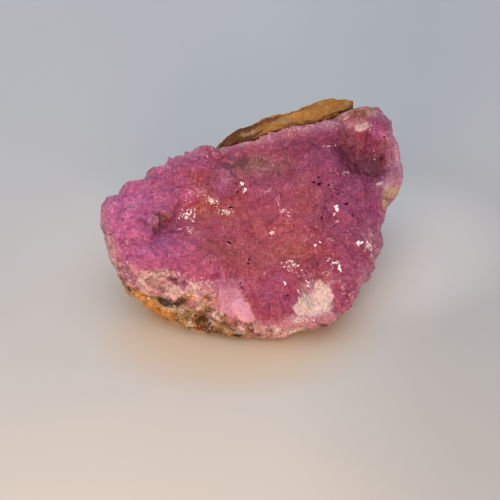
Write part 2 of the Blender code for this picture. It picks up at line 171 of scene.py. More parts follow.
# The middle of one plain crystal face at the upper left, how far round it no smaller crystals grow,
# and how far its crisp crystal stands out.
KITE = (-5.4, 11.4)
KITE_BARE = 3.0
KITE_RISE = 0.35

# Single crystals that stand out: u, v and w of the middle, radius across the axis, half length over
# radius, tilt of the axis from w, the direction it leans in, and a corner's turn from that direction.
LARGE_CRYSTALS = (
    (-31.0, 7.8, -2.0, 4.5, 0.95, 54, 140, 4),
    (-25.2, 12.3, -2.1, 4.3, 0.95, 50, 132, -6),
    (-19.4, 15.0, -2.2, 4.2, 0.92, 52, 136, 5),
    (-16.0, 17.3, -2.0, 2.1, 1.35, 40, 110, 30),
    (-13.4, 16.8, -2.2, 3.8, 0.92, 52, 104, -8),
    (-11.2, 18.8, -1.8, 1.7, 1.40, 36, 116, 10),
    (-7.8, 18.0, -2.1, 4.1, 0.95, 46, 94, 12),
    (-4.2, 16.2, -1.5, 2.6, 0.95, 36, 60, 20),
    (-5.4, 11.4, -2.3, 5.3, 0.90, 36, 83, -6),
    (-26.6, 3.0, -0.8, 5.0, 0.80, 44, 196, 10),
    (-19.4, 8.8, -1.2, 4.2, 0.85, 46, 120, -10),
    (-13.6, 10.4, -1.4, 3.9, 0.85, 40, 80, 8),
    (-25.4, -3.4, -1.6, 4.2, 0.80, 42, 230, 0),
    (17.0, 10.6, -0.6, 4.6, 0.74, 20, 60, 14),
    (12.6, 15.6, -1.6, 3.6, 0.80, 30, 110, 0),
    (20.6, -1.0, -0.6, 4.8, 0.74, 24, 340, 30),
    (15.8, -7.0, -0.8, 4.4, 0.74, 18, 300, 40),
    (-6.6, -18.0, -5.0, 4.6, 0.90, 14, 80, 0),
    (-10.6, -14.6, -3.2, 3.0, 0.85, 30, 70, 10),
    (26.0, -9.0, -2.6, 2.6, 0.95, 58, 330, 8),
    (23.0, -14.6, -2.8, 2.4, 0.95, 60, 325, -12),
    (18.2, -19.8, -3.0, 2.4, 0.95, 58, 312, 6),
    (33.0, 18.6, -1.9, 3.0, 0.90, 50, 30, 10),
    (30.2, 20.8, -1.8, 3.4, 0.90, 46, 60, -6),
)

# The crisp crystals of the rim: the share of its radius that a crystal reaches, and the direction from
# the middle where they begin, in degrees.
RIM_REACH = 0.8
RIM_START = 320

# The crystals between them, as the crust's solid has them: their spacing, how far each is off its
# place, the range of their radius, how deep their middle is over the radius, the range of their half
# length over the radius, the tilt of pyramids and of blocks, and the smallest radius.
FIELD_SPACING = 4.5
FIELD_JITTER = 1.2
FIELD_RADIUS = (2.5, 4.6)
FIELD_ROOT = 0.62
FIELD_FLATNESS = (0.74, 1.0)
FIELD_TILT = 36.0
BLOCK_TILT = 48.0
SMALLEST_CRYSTAL = 1.4
FIELD_SEED = 11

# How far a crystal may reach past the crust's edge, and past it beside the ledge, and how far above
# the crust's underside it stays.
EDGE_REACH = 1.0
LEDGE_REACH = 0.1
ROOT_CLEARANCE = 0.8

# A rhomb's faces: the product of a face's normal with any point of it, in the rhomb's own measure, and
# about how long its edge is over its radius.
RHOMB_FACE = 0.75
RHOMB_EDGE = 1.4

# Cells along each side of a lattice of noise, and how fast a facet falls away from its seed.
NOISE_CELLS = 32
FACET_BOWL = 0.55

# How far the rock's wall bulges, as a share of its distance from the middle.
WALL_BULGE = 0.11

# Flat breaks across the rock: the compass direction and rise of each break's normal, and its
# distance from the middle of the rock, which is so far above the floor and behind the face's centre.
CORNER_CHIPS = (
    (60, -20, 27), (100, -20, 20), (125, -5, 20.6), (150, -12, 27.8), (172, -30, 31), (30, -25, 26.8),
    (345, -10, 24.5), (318, -12, 23.2), (44, -2, 33), (82, -38, 22.2),
)
ROCK_MIDDLE_HEIGHT = 12.0
ROCK_MIDDLE_BACK = 3.0

# Patches of the face that grew nearly flat: u, v, radius, and the share of the crystals' relief that
# is lost. At least the calmest share of it shows everywhere.
CALMEST = 0.28
CALM_PATCHES = (
    (4, -3, 13, 0.55), (16, -4, 11, 0.55), (-8, -6, 9, 0.5), (16, 8, 8, 0.5), (2, 9, 6, 0.45),
    (-11, -12, 5, 0.7),
)

# Colours of the crystal face: palette name, u, v, radius along u, radius along v, and strength.
# The deep tints sit in pits, grooves and hollows: thick crystal's colour with painted shade.
FACE_TINTS = (
    ("deep", 20, -8, 8, 7, 0.2), ("purple", 4, -18, 8, 5, 0.4), ("warm", -10.6, 6, 4.6, 3, 0.85),
    ("warm", -15.4, 0.2, 3.6, 2.4, 0.4), ("warm", -4.7, 3.6, 4.2, 2.2, 0.6),
    ("warm", 4.3, -1.9, 8, 3.6, 0.3), ("warm", 7, -8, 6.5, 3.6, 0.7), ("warm", 12.5, 3.6, 3.6, 5, 0.35),
    ("warm", -8.5, -5, 6, 3, 0.5), ("warm", -3, -10, 5, 2.6, 0.4), ("warm", -10.4, 12.2, 3.2, 1.6, 0.5),
    ("olive", 1.6, 14.6, 4.6, 2.6, 0.85), ("olive", 7.5, 14, 3.6, 2, 0.4),
    ("olive", -3, 15, 1.6, 1.6, 0.7), ("olive", 21.4, 23.6, 4.4, 1.3, 0.6),
    ("warm", 27, 23.6, 3, 1.4, 0.6), ("deep", 29, 11.4, 4.8, 3.8, 0.95),
    ("deep", 25.8, 15.4, 3.8, 3, 0.6), ("deep", 24.2, 13, 2, 4, 0.45),
    ("deep", -21.6, 3, 3.2, 2.4, 0.5), ("deep", -17.6, 4.4, 2.4, 1.2, 0.45),
    ("deep", 8, 11.2, 2.2, 1.4, 0.35), ("deep", 16, 17.4, 7, 1.2, 0.35),
    ("deep", -7.8, 12.4, 1.6, 1.4, 0.45), ("deep", -5.4, 15.6, 1.6, 2, 0.4),
    ("lilac", 35.4, 10, 2.6, 6.5, 0.6), ("pale", 33.6, 7.6, 2.4, 2.4, 0.5),
    ("lilac", 36.5, 13, 2.4, 5, 0.7), ("pale", 29, 21.6, 3, 1.4, 0.6), ("pale", 6, 20.6, 8, 1.4, 0.4),
    ("pale", 17, 21.6, 6, 1.2, 0.45), ("pale", -8, -14.6, 4.2, 1.6, 0.5),
    ("magenta", -28, 3, 7, 8, 0.4), ("magenta", -5.2, 11.2, 2.6, 3.2, 0.5),
    ("purple", -5.6, 8, 2, 1.6, 0.4), ("magenta", -9.5, -13, 5, 2.6, 0.5),
    ("olive", 27, 25, 5, 1.6, 0.6), ("cream", 9, -20, 2, 2.8, 0.8), ("cream", 12.7, -19.6, 1.8, 3.6, 1),
    ("cream", 12.8, -16.8, 1.5, 1.2, 0.9), ("rose", 10.1, -23.2, 1.3, 1.1, 0.6),
    ("pale", 5.6, -23.4, 4, 1.6, 0.7), ("pale", 22.6, -16.5, 2.2, 2.2, 0.35),
    ("pale", 26.6, -8, 2, 4, 0.35), ("cream", 33, 3.6, 2, 2.2, 0.4), ("warm", 27.5, 19.5, 3, 2, 0.4),
    ("purple", 1, -17.5, 4.5, 4, 0.8), ("purple", 4, 9, 6, 3, 0.5),
)

# The slope that the broken front edge and the rock under it share, and its stains: palette name, how
# far right and how far up the slope from the face's centre, radius along and across the stain, how far
# it is turned from across, in degrees, and strength.
SLOPE_LEAN = 42.0
FRONT_STAINS = (
    ("lilac", -28.9, -11.9, 2.1, 1.6, -35, 0.6), ("pale", -32.4, -8.5, 0.7, 2.1, 28, 0.6),
    ("pale", -32.8, -9.9, 0.5, 3.2, 28, 0.55), ("warm", -28.5, -14.2, 1.6, 0.7, -20, 0.45),
    ("vein", -28.9, -14.9, 0.8, 0.4, -25, 1), ("cream", -25.9, -12.6, 1.1, 1, 20, 0.95),
    ("cream", -25.5, -11.7, 0.7, 0.5, 20, 0.9), ("olive", -23.6, -12.9, 1.4, 1, 0, 0.85),
    ("cream", -21.8, -11.9, 1.8, 0.9, 10, 0.45), ("olive", -21.3, -14.2, 0.9, 1.3, 0, 0.75),
    ("cream", -19.3, -11.2, 1.8, 0.7, 5, 0.95), ("cream", -22.5, -11.1, 2.1, 0.3, 10, 0.8),
    ("deep", -18.6, -12.4, 1.1, 0.8, -10, 0.8), ("lilac", -16.5, -13.3, 1.6, 1, -10, 0.85),
    ("deep", -18.1, -13.5, 0.6, 0.5, 0, 0.7), ("deep", -17.7, -11.9, 0.5, 0.3, 0, 0.7),
    ("pale", -22.7, -14.9, 1.6, 0.7, -15, 0.5), ("cream", -18.4, -15.4, 2.1, 1.4, -10, 0.75),
    ("cream", -19, -14.5, 0.9, 0.7, 0, 0.5), ("ochre", -23.9, -15.8, 1.4, 0.3, -18, 0.8),
    ("tan", -21.8, -16.8, 2.1, 0.4, -20, 0.85), ("grain", -24.7, -16.8, 0.5, 0.4, 0, 1),
    ("orange", -26.6, -16.5, 1.1, 1, -40, 0.95), ("orange", -23.6, -18.4, 1.4, 0.9, -40, 0.95),
    ("orange", -21.3, -20, 1.8, 1, -35, 0.95), ("orange", -19, -21.1, 1.6, 0.9, -25, 0.9),
    ("knot", -22, -19.5, 0.7, 0.4, -40, 0.6), ("brown", -20.4, -21.3, 0.9, 0.4, -30, 0.7),
    ("vein", -21.1, -17.7, 1.6, 0.6, -38, 0.95), ("vein", -19, -18.1, 1.4, 0.7, -10, 0.95),
    ("grain", -20.2, -19.2, 1.6, 0.3, -10, 0.45), ("grain", -18.6, -18.3, 0.4, 0.3, 0, 1),
    ("brown", -16.8, -17.2, 1.6, 0.8, 5, 0.95), ("vein", -17.2, -18.1, 1.4, 0.6, 0, 0.85),
    ("orange", -14.9, -16.3, 1.1, 0.8, -10, 0.8), ("cream", -15.4, -15.8, 0.7, 0.3, 0, 0.5),
    ("tan", -16.1, -20.2, 2.3, 1.8, 0, 0.95), ("brown", -18, -21.1, 0.4, 1.4, 25, 0.9),
    ("cream", -16.3, -19.3, 0.9, 0.5, 0, 0.5), ("brown", -15.4, -21.3, 0.7, 0.5, 0, 0.5),
    ("grain", -14.9, -22.7, 1, 0.7, 0, 0.9), ("brown", -15.8, -23.9, 2.3, 0.4, -15, 0.95),
    ("orange", -18.6, -22.5, 1.4, 0.5, -15, 0.75), ("cream", -12.4, -13.8, 2.3, 1.3, -15, 0.9),
    ("cream", -14.2, -12.6, 1.1, 0.7, -10, 0.7), ("pale", -10.8, -14.9, 1.8, 0.9, -20, 0.8),
    ("knot", -11.1, -17, 1.5, 0.6, 5, 0.95), ("brown", -10.6, -17.2, 0.9, 0.3, 5, 0.7),
    ("tan", -12.2, -17.7, 1.6, 0.7, 0, 0.7), ("cream", -13.5, -17.4, 0.7, 0.5, 0, 0.6),
    ("tan", -11.5, -19.3, 1.8, 1.3, 0, 0.85), ("brown", -10.8, -19.7, 0.7, 0.5, 0, 0.6),
    ("cream", -12.9, -19, 0.6, 0.4, 0, 0.6), ("brown", -11.9, -21.8, 2, 1.6, 0, 0.97),
    ("knot", -13.1, -23.6, 0.9, 0.5, -10, 0.7), ("vein", -11, -22.7, 0.7, 0.6, 0, 0.7),
    ("cream", -9.5, -21.3, 1.1, 1.3, -10, 0.85), ("brown", -7.6, -20.7, 1.3, 1.1, 0, 0.8),
    ("grain", -7.6, -20, 0.5, 0.3, 0, 0.9), ("grain", -8.3, -21.3, 0.4, 0.3, 0, 0.8),
    ("grain", -6.9, -21.3, 0.4, 0.3, 0, 0.8), ("knot", -5.5, -21.8, 1.6, 1.1, -20, 0.85),
    ("brown", -6.7, -22.7, 1.1, 0.6, -10, 0.8), ("tan", -6.2, -23.9, 2.3, 0.5, -12, 0.9),
    ("brown", -9, -24.6, 2.1, 0.9, -10, 0.95), ("orange", -8.5, -25.6, 1.4, 0.4, 0, 0.8),
    ("brown", -10.6, -23.9, 0.9, 0.5, 0, 0.8), ("cream", -3.4, -24.1, 1.6, 0.9, -15, 0.85),
    ("tan", -4.6, -23.6, 0.7, 0.5, 0, 0.7), ("vein", -3.4, -25.7, 1.8, 0.6, -22, 1),
    ("deep", -1.1, -23.6, 1.3, 0.8, -35, 0.7), ("brown", -1.6, -24.1, 0.7, 0.4, -30, 0.6),
    ("cream", 0.2, -23.3, 0.9, 0.5, -30, 1), ("cream", 1.4, -24.8, 1.6, 0.6, -8, 0.85),
    ("olive", 3.4, -24.8, 0.9, 0.7, 0, 0.7), ("cream", 5, -24.3, 0.9, 1, 0, 0.85),
    ("cream", 7.6, -24.8, 2.1, 0.7, 0, 0.8), ("brown", 6.4, -25.5, 1.1, 0.3, 0, 0.5),
    ("cream", 11, -23.9, 3.7, 0.8, 8, 0.75), ("pale", 14.5, -22.7, 3.2, 0.9, 15, 0.7),
    ("olive", 10.3, -25, 1.6, 0.3, 5, 0.5), ("pale", -6.9, -17, 2.1, 2.1, 0, 0.4),
    ("tan", 1.6, -25.8, 5, 1.2, 3, 0.9), ("cream", 3.4, -25.4, 2.6, 0.7, 5, 0.7),
    ("pale", 2.4, -25.9, 5.6, 1.2, 3, 0.5), ("lilac", 0.6, -25.2, 1.4, 0.6, -10, 0.45),
    ("knot", -9.6, -21.6, 1.2, 0.5, -50, 0.55), ("knot", -12.4, -19.9, 1, 0.5, 10, 0.5),
)

# Stains of the ledge behind the crust, in the same way.
LEDGE_STAINS = (
    ("brown", -6.2, 19.7, 2.8, 1.8, 20, 1), ("brown", -3.9, 20.7, 3.2, 1.6, 22, 0.95),
    ("brown", -1.1, 21.8, 3.2, 1.6, 22, 0.9), ("brown", 1.6, 23.2, 2.1, 1.1, 22, 0.55),
    ("tan", -0.7, 21.8, 2.8, 0.6, 22, 0.8), ("brown", -3.4, 21.6, 2.8, 0.4, 30, 0.95),
    ("brown", 0.2, 22.7, 2.8, 0.3, 24, 0.9), ("brown", -2.1, 20.2, 3, 0.5, 14, 0.9),
    ("ochre", 1.6, 22.9, 2.1, 0.6, 22, 0.6), ("brown", 1.6, 24.1, 2.1, 0.3, 25, 0.9),
    ("brown", 4.8, 25, 1.6, 0.3, 18, 1), ("brown", 3.9, 24.6, 1.6, 0.5, 22, 0.7),
    ("tan", 6.2, 24.1, 2.3, 0.5, 10, 0.5), ("brown", 12.4, 24.1, 1.4, 0.3, 12, 0.8),
    ("brown", 19, 26.3, 4.1, 0.3, 20, 0.9), ("brown", 8.5, 23.4, 3.2, 0.3, 8, 0.6),
    ("orange", 10.3, 25.7, 2.8, 0.7, 15, 0.4), ("ochre", 17.2, 28, 3.2, 0.9, 10, 0.5),
    ("tan", 21.8, 28.5, 0.7, 0.7, 0, 0.6), ("brown", 22.5, 27.1, 0.7, 0.4, 20, 0.8),
    ("brown", 10.3, 26.9, 2.3, 0.3, 22, 0.4), ("brown", 14.9, 27.8, 2.3, 0.3, 10, 0.3),
)

# Stains of the crystal face with a clear border, in the same way.
# The deep stains in the pits, the hollows at the left and beside the plain face add painted shade.
FACE_STAINS = (
    ("cream", 13.4, -18, 3.2, 3.2, 0, 0.95), ("cream", 14.5, -14.4, 1.2, 1.7, 10, 0.9),
    ("cream", 10.2, -19.4, 1.2, 1.8, 20, 0.95), ("cream", 16.6, -16.6, 1.1, 2.4, 0, 0.95),
    ("pale", 10.3, -21.6, 3.4, 0.9, 5, 0.7), ("purple", 12.2, -14.9, 0.9, 1, -30, 0.6),
    ("lilac", 15.1, -20.4, 1.4, 0.8, 20, 0.35), ("olive", 14.2, -17.4, 0.6, 0.5, 0, 0.25),
    ("cream", 16.5, 24.1, 1.1, 0.3, 0, 0.7), ("cream", 20.4, 25, 1.6, 0.3, 8, 0.7),
    ("pale", 16.3, 23.5, 3.2, 0.6, 8, 0.6), ("olive", 21.1, 25.8, 2.8, 0.7, 14, 0.75),
    ("cream", 21.8, 26.2, 1.4, 0.5, 14, 0.4), ("olive", 27.3, 26.2, 1.8, 0.9, -15, 0.6),
    ("tan", 25, 26.6, 3.2, 0.7, 0, 0.6), ("knot", 24.4, 25.7, 1.2, 1.2, 0, 0.95),
    ("cream", 24.9, 23, 1.6, 0.8, 10, 0.95), ("pale", 26.9, 25.7, 1.4, 0.5, -10, 0.5),
    ("magenta", 29, 22, 1.8, 1.4, 0, 0.35), ("lilac", 32.1, 18.8, 1.1, 2.1, 15, 0.8),
    ("lilac", 33, 13.8, 1.3, 3.2, 5, 0.9), ("lilac", 30.7, 12.4, 1.1, 2.8, -25, 0.8),
    ("pale", 33.3, 15.8, 0.6, 1.8, 10, 0.6), ("olive", 34.1, 12.2, 0.3, 1.6, 0, 0.6),
    ("cream", 30.4, 9.1, 1, 0.6, 0, 0.35), ("tan", 32.6, 7.3, 1.3, 0.8, 30, 0.95),
    ("knot", 31, 6.2, 0.9, 0.6, 20, 0.85), ("cream", 29, 9.5, 0.8, 0.5, 20, 0.8),
    ("tan", 30.3, 4.6, 0.7, 1.4, 20, 0.9), ("pale", 31.2, 10.3, 0.9, 0.7, 0, 0.7),
    ("deep", 27.7, 14.5, 2.8, 1.8, 0, 0.75), ("deep", 29.1, 15.6, 1.4, 0.9, 20, 0.7),
    ("deep", 27.4, 12.4, 1.5, 1.4, 0, 0.75), ("deep", 22.7, 17.4, 1.6, 1.4, 0, 0.5),
    ("deep", 21.1, 20.7, 1.6, 2.1, 0, 0.35), ("cream", 11.9, 22.6, 0.5, 0.4, 0, 0.9),
    ("cream", 10.3, 22.6, 0.4, 0.4, 0, 0.8), ("deep", -22.5, -0.9, 1.6, 1.1, 10, 0.6),
    ("deep", -24.6, -0.2, 0.9, 0.7, 0, 0.3), ("deep", -20.4, 0, 1.1, 0.7, 20, 0.35),
    ("magenta", -7.3, 10.8, 1.6, 2.8, 0, 0.7), ("magenta", -8.3, 9, 2.3, 1.1, 8, 0.7),
    ("deep", -5.5, 13.5, 0.5, 1.1, 30, 0.45), ("deep", -9.6, 12.6, 0.7, 1.4, -30, 0.4),
    ("magenta", -4.6, -14.5, 3.2, 1.4, 0, 0.6), ("magenta", -7.6, -13.3, 2.3, 0.9, 0, 0.5),
    ("pale", -6.4, -13.4, 4.4, 1, 0, 0.25), ("deep", -30.3, 1.4, 0.6, 0.5, 0, 0.4),
    ("deep", -28, 1.8, 0.9, 0.4, 10, 0.35), ("deep", -25.9, 0.7, 1.4, 0.7, -10, 0.45),
    ("deep", -24.6, 2.8, 0.5, 0.5, 0, 0.3), ("pale", -28.5, 4.4, 1.6, 0.9, 10, 0.22),
    ("pale", -32.8, 4.6, 0.7, 1.4, 0, 0.18), ("pale", -21.8, 9, 1.4, 1.1, 0, 0.15),
    ("deep", -23.6, 6.7, 0.5, 1.1, 0, 0.3), ("deep", 20.4, 21.3, 1.6, 1.8, 0, 0.5),
    ("deep", 19, 17.7, 1.4, 0.9, 0, 0.35), ("magenta", 28.2, 22.3, 1.6, 1.4, 20, 0.3),
    ("deep", 27.8, 13.1, 2.8, 1.8, -20, 0.6), ("warm", -14.9, 12.6, 1.1, 1.8, 0, 0.15),
    ("magenta", -11.5, 15.4, 1.8, 1.1, 0, 0.4), ("deep", -6.2, 15.4, 0.7, 0.5, 0, 0.5),
    ("olive", -21.6, 1.6, 2, 1.3, 10, 0.45), ("pale", -6.6, 11, 1.8, 1.8, 0, 0.22),
    ("magenta", -13.5, 14.6, 3, 2, 20, 0.35), ("knot", 23.6, 25.9, 2.4, 1.3, 10, 0.55),
    ("tan", 33.3, 7.6, 1.2, 1.4, 0, 0.6), ("tan", 31.3, 7.6, 1.9, 1.2, 15, 0.75),
)

# Clusters of bright little crystals, coloured near white and glowing as painted glints of facets
# that catch the light: u, v, radius along u, radius along v, how many, and the largest crystal's
# radius. They lie on arcs of dots, of which some are left out.
ARC_DOTS = 12
DOTS_KEPT = 0.65
GLINT_PAINT_PINK = (0.98, 0.74, 0.74)
GLINT_PAINT_WHITE = (1.0, 0.97, 0.93)
PAINTED_GLINT_CLUSTERS = (
    (-14.2, 5, 1.9, 1.6, 70, 0.2), (-15.2, 8, 1, 0.8, 14, 0.11), (-12.4, 9.8, 2.2, 1.2, 34, 0.1),
    (-9.8, 9.4, 1, 0.6, 12, 0.12), (-8.2, 7.4, 1.2, 1, 50, 0.18), (-5.6, 4.4, 2.2, 0.8, 56, 0.15),
    (-1.3, 10.2, 0.5, 0.3, 8, 0.28), (-1, 8.3, 0.6, 0.5, 11, 0.32), (-15.8, 1.9, 1.6, 0.1, 14, 0.12),
    (-14.7, 0.8, 0.6, 0.8, 18, 0.13), (4.6, 7.4, 1.4, 0.4, 16, 0.1), (6.3, 4.6, 0.5, 1.6, 20, 0.11),
    (6.6, 2, 0.7, 0.6, 12, 0.19), (7.6, -0.6, 0.5, 1.2, 12, 0.13), (3.7, -2.4, 1.6, 0.3, 26, 0.15),
    (19.4, 1, 0.5, 0.8, 20, 0.34), (18.4, -0.4, 0.4, 0.5, 7, 0.16), (18.3, -2.2, 0.9, 0.3, 9, 0.15),
    (23, -8.2, 0.8, 0.5, 22, 0.32), (25.2, -9, 0.5, 0.7, 16, 0.24), (12.6, -7.2, 0.4, 0.3, 6, 0.26),
    (13.8, -6.8, 0.3, 0.2, 4, 0.2), (16.3, -6.8, 0.6, 0.5, 8, 0.12), (15.2, -10.9, 0.8, 0.3, 9, 0.18),
    (16.6, -11.8, 0.8, 0.4, 14, 0.25), (17.5, -13.2, 0.3, 0.9, 18, 0.28),
    (9.7, -15.3, 0.5, 0.4, 8, 0.26), (4.8, -10.9, 0.8, 0.7, 16, 0.22), (7, -11.2, 1, 0.7, 22, 0.2),
    (5.8, -12.4, 1.4, 0.8, 16, 0.12), (4, -15.5, 0.4, 0.6, 10, 0.27), (14.5, -13.9, 1.4, 1.2, 26, 0.11),
    (-30.9, -4.9, 0.6, 0.5, 10, 0.18), (-29.6, 0, 1, 2, 16, 0.1), (9, -13.4, 2.4, 1, 24, 0.1),
    (21, 16.9, 1.6, 0.3, 16, 0.12), (23.4, 9.6, 1.4, 0.5, 12, 0.11), (31.7, 14.7, 0.5, 1.4, 10, 0.13),
    (14, -4.2, 4, 3, 16, 0.09), (-6, -6, 7, 4, 24, 0.09), (20, 6, 5, 5, 20, 0.09),
    (-22, 8, 6, 4, 16, 0.09),
)

# Crumbs of crystal on the crust: palette name, how far right and how far up the slope, radius across
# and up, how many, and the range of their radius.
CRUMBS = (
    ("pale", -1.6, 20, 3.2, 0.7, 90, 0.15, 0.45), ("pale", 1.6, 21.6, 1.1, 0.7, 40, 0.2, 0.6),
    ("cream", -3.4, 19.3, 1.4, 0.5, 18, 0.12, 0.3), ("pale", 6.2, 22.9, 4.1, 0.5, 80, 0.15, 0.5),
    ("cream", 11.5, 23.2, 1.8, 0.3, 16, 0.12, 0.3), ("pale", 14.5, 23.9, 3.7, 0.5, 70, 0.15, 0.5),
    ("cream", 16.8, 24.1, 1.8, 0.4, 18, 0.12, 0.3), ("cream", 25.6, 23, 1.6, 0.6, 60, 0.12, 0.35),
    ("cream", 13.4, -14, 1.2, 1, 40, 0.1, 0.3), ("pale", 9.3, -21.9, 4.1, 1.1, 80, 0.12, 0.4),
    ("cream", -19, -11.4, 2, 0.5, 46, 0.12, 0.4), ("cream", -25.7, -12.2, 1, 0.9, 36, 0.12, 0.4),
    ("cream", -18.1, -15.2, 2, 1.1, 30, 0.15, 0.5), ("cream", -12.6, -13.8, 2.2, 0.9, 60, 0.15, 0.45),
    ("cream", 0, -24.3, 3.2, 0.8, 50, 0.12, 0.4), ("cream", 8, -24.1, 6, 0.7, 80, 0.12, 0.35),
    ("pale", 17.2, -21.3, 3.2, 0.9, 50, 0.12, 0.4), ("pale", 27.2, -5.7, 1.1, 2.1, 40, 0.15, 0.5),
    ("magenta", -20.7, 10.8, 4.6, 1.8, 50, 0.15, 0.5), ("pale", -11.5, 16.8, 3.7, 1.1, 60, 0.15, 0.45),
    ("pale", -27.8, -8.5, 1.6, 1.4, 16, 0.12, 0.35), ("pale", 31, 19.5, 1.4, 3.2, 16, 0.15, 0.4),
    ("pale", 21.8, -16.1, 1.8, 2.3, 40, 0.15, 0.45),
)

# Blades of the white fibrous patch: u, v, radius along u, radius along v, how many, and the range of
# their length. They point away from FIBRE_ROOT.
BLADE_WHITE = (0.97, 0.84, 0.77)
FIBRE_ROOT = (10.5, -26.0)
FIBRES = (
    (8.2, -19.8, 1.6, 2.2, 50, 0.9, 2.4), (12.7, -19.6, 1.3, 2.6, 60, 0.9, 2.6),
    (12.8, -16.6, 1, 0.9, 26, 0.4, 1.1), (10.2, -20.8, 1.8, 1.4, 30, 0.5, 1.4),
    (6.4, -23.6, 2.6, 0.8, 30, 0.4, 1), (24.8, -8.9, 0.5, 0.8, 14, 0.5, 1.2),
)

# Grains on the front of the rock, in the same way as the crumbs.
ROCK_GRAINS = (
    ("grain", -16.1, -19.4, 2.4, 1.4, 70, 0.1, 0.26), ("grain", -15.1, -22.7, 1, 0.8, 30, 0.12, 0.36),
    ("tan", -17, -20.6, 2.4, 2, 120, 0.15, 0.45), ("cream", -8.6, -21.4, 1.4, 1.2, 34, 0.12, 0.32),
    ("orange", -22.5, -19.5, 3.2, 2.4, 40, 0.12, 0.3), ("brown", -12, -21.5, 2.2, 2.2, 90, 0.15, 0.45),
    ("grain", -24.4, -16.5, 0.4, 0.4, 8, 0.15, 0.35), ("grain", -27, -17.4, 0.4, 0.4, 6, 0.15, 0.3),
    ("grain", -18.6, -18.2, 0.4, 0.3, 6, 0.15, 0.35), ("vein", -16, -24, 5, 0.8, 70, 0.12, 0.35),
    ("brown", -7, -24.6, 2.4, 0.9, 60, 0.12, 0.35), ("grain", -12.2, -17.6, 2.4, 0.7, 20, 0.12, 0.3),
)

# The pale chip, and the wide plate of crystal behind it, whose top is sunk in the crust: half their
# thickness, and along them the share of the length, u, v, w and half width. Both have the same count
# of cross-sections and of points round each, the same width at their ends and way up.
CHIP_LENGTHWISE = 64
CHIP_ROUND = 48
CHIP_END = 0.02
CHIP_UP = (0.15, -0.25, 1.0)
CHIP_PINK = (0.84, 0.42, 0.60)
PLATE_MAUVE = (0.66, 0.30, 0.45)
CHIP_THICKNESS = 0.9
PLATE_THICKNESS = 0.6
CHIP_PATH = (
    (0, -7.5, -16.2, -2.9, 1.4), (0.2, -6.8, -17.1, -2.4, 2.4), (0.5, -5.6, -18.6, -2.8, 2.7),
    (0.75, -4.6, -19.8, -3.2, 2.6), (0.92, -3.7, -20.8, -3.5, 1.8), (1, -3.3, -21.4, -3.8, 0.5),
)
PLATE_PATH = (
    (0, -6.3, -13, -2.2, 4.7), (0.2, -6.6, -14.4, -1.4, 5.1), (0.45, -7.5, -15.9, -2, 3.9),
    (0.7, -8, -17.6, -2.9, 3), (0.9, -7.6, -19, -3.6, 2), (1, -7.1, -19.9, -4.1, 0.6),
)

# Black specks in the face: u, v, length, and direction in degrees, with half the thickness of all of
# them, how far their middle is above the face, and the points along and round each.
SPECK_THICKNESS = 0.16
SPECK_LIFT = 0.05
SPECK_RINGS = 7
SPECK_ROUND = 8
SPECKS = (
    (16.2, 7.2, 1.3, 20), (16.5, 8.6, 0.7, 80), (19.9, 5.6, 0.8, 120), (21.5, 1.5, 1.4, 5),
    (14.5, 1.8, 0.7, 60), (16.5, 1.2, 0.6, 100), (15.4, -1, 1, 80), (22.5, -1.1, 0.8, 75),
    (17.8, -3.3, 0.6, 10), (-6.6, -3.3, 1.4, 140), (-2.9, -8, 0.9, 50), (-3.3, -9.2, 0.9, 100),
    (-5.6, -14.2, 1.1, 120), (-5.7, -13.2, 0.8, 30), (-2.7, 8.5, 0.9, 10), (-4.6, 5.3, 1.2, 160),
    (-5.2, 13.7, 1, 165), (4.2, -17.9, 0.8, 0), (12.3, 11.4, 0.5, 40), (34.1, 17, 0.7, 80),
    (18.3, 6.5, 0.9, 45), (19, 3.9, 0.8, 100), (20.4, 4.3, 0.7, 10), (17.4, 2.9, 0.4, 60),
    (15, 7.6, 0.9, 165), (23.4, 3.7, 0.4, 90), (-7.6, 1.9, 0.5, 20), (-12, -8, 0.5, 80),
)

# The power between the light of a colour and how light it looks, and the darkest shade.
EYE_GAMMA = 2.2
DARKEST = 0.03

# Size of the swirls that the growth lines circle, in millimetres, and how they are squeezed.
LINE_CELL = 10.0
LINE_STRETCH = (0.45, 1.0, 1.0)

# The stage, in metres: half the floor's width, and the spot that the lights are turned to, with the
# room's even light.
FLOOR_HALF = 2.0
LIT_SPOT = (0, 0, 0.015)
ROOM_COLOUR = (0.87, 0.88, 0.91, 1)
ROOM_STRENGTH = 0.535

# The camera: its sensor in millimetres, how much it sees across at the face, in metres, one of the 500
# pixels of that, and how far it aims to the left of the face's centre and below it.
SENSOR_WIDTH = 36.0
VIEW_WIDTH = 0.11475
PIXEL = VIEW_WIDTH / 500
AIM_LEFT = 5 * PIXEL
AIM_BELOW = 25 * PIXEL


def colour_setting(name, description, default):
    """A colour that a user can change."""
    return bpy.props.FloatVectorProperty(
        name=name, description=description, subtype="COLOR", default=default
    )


def number_setting(name, description, default, **kind):
    """A number that a user can change, with its unit, subtype or smallest value."""
    return bpy.props.FloatProperty(name=name, description=description, default=default, **kind)


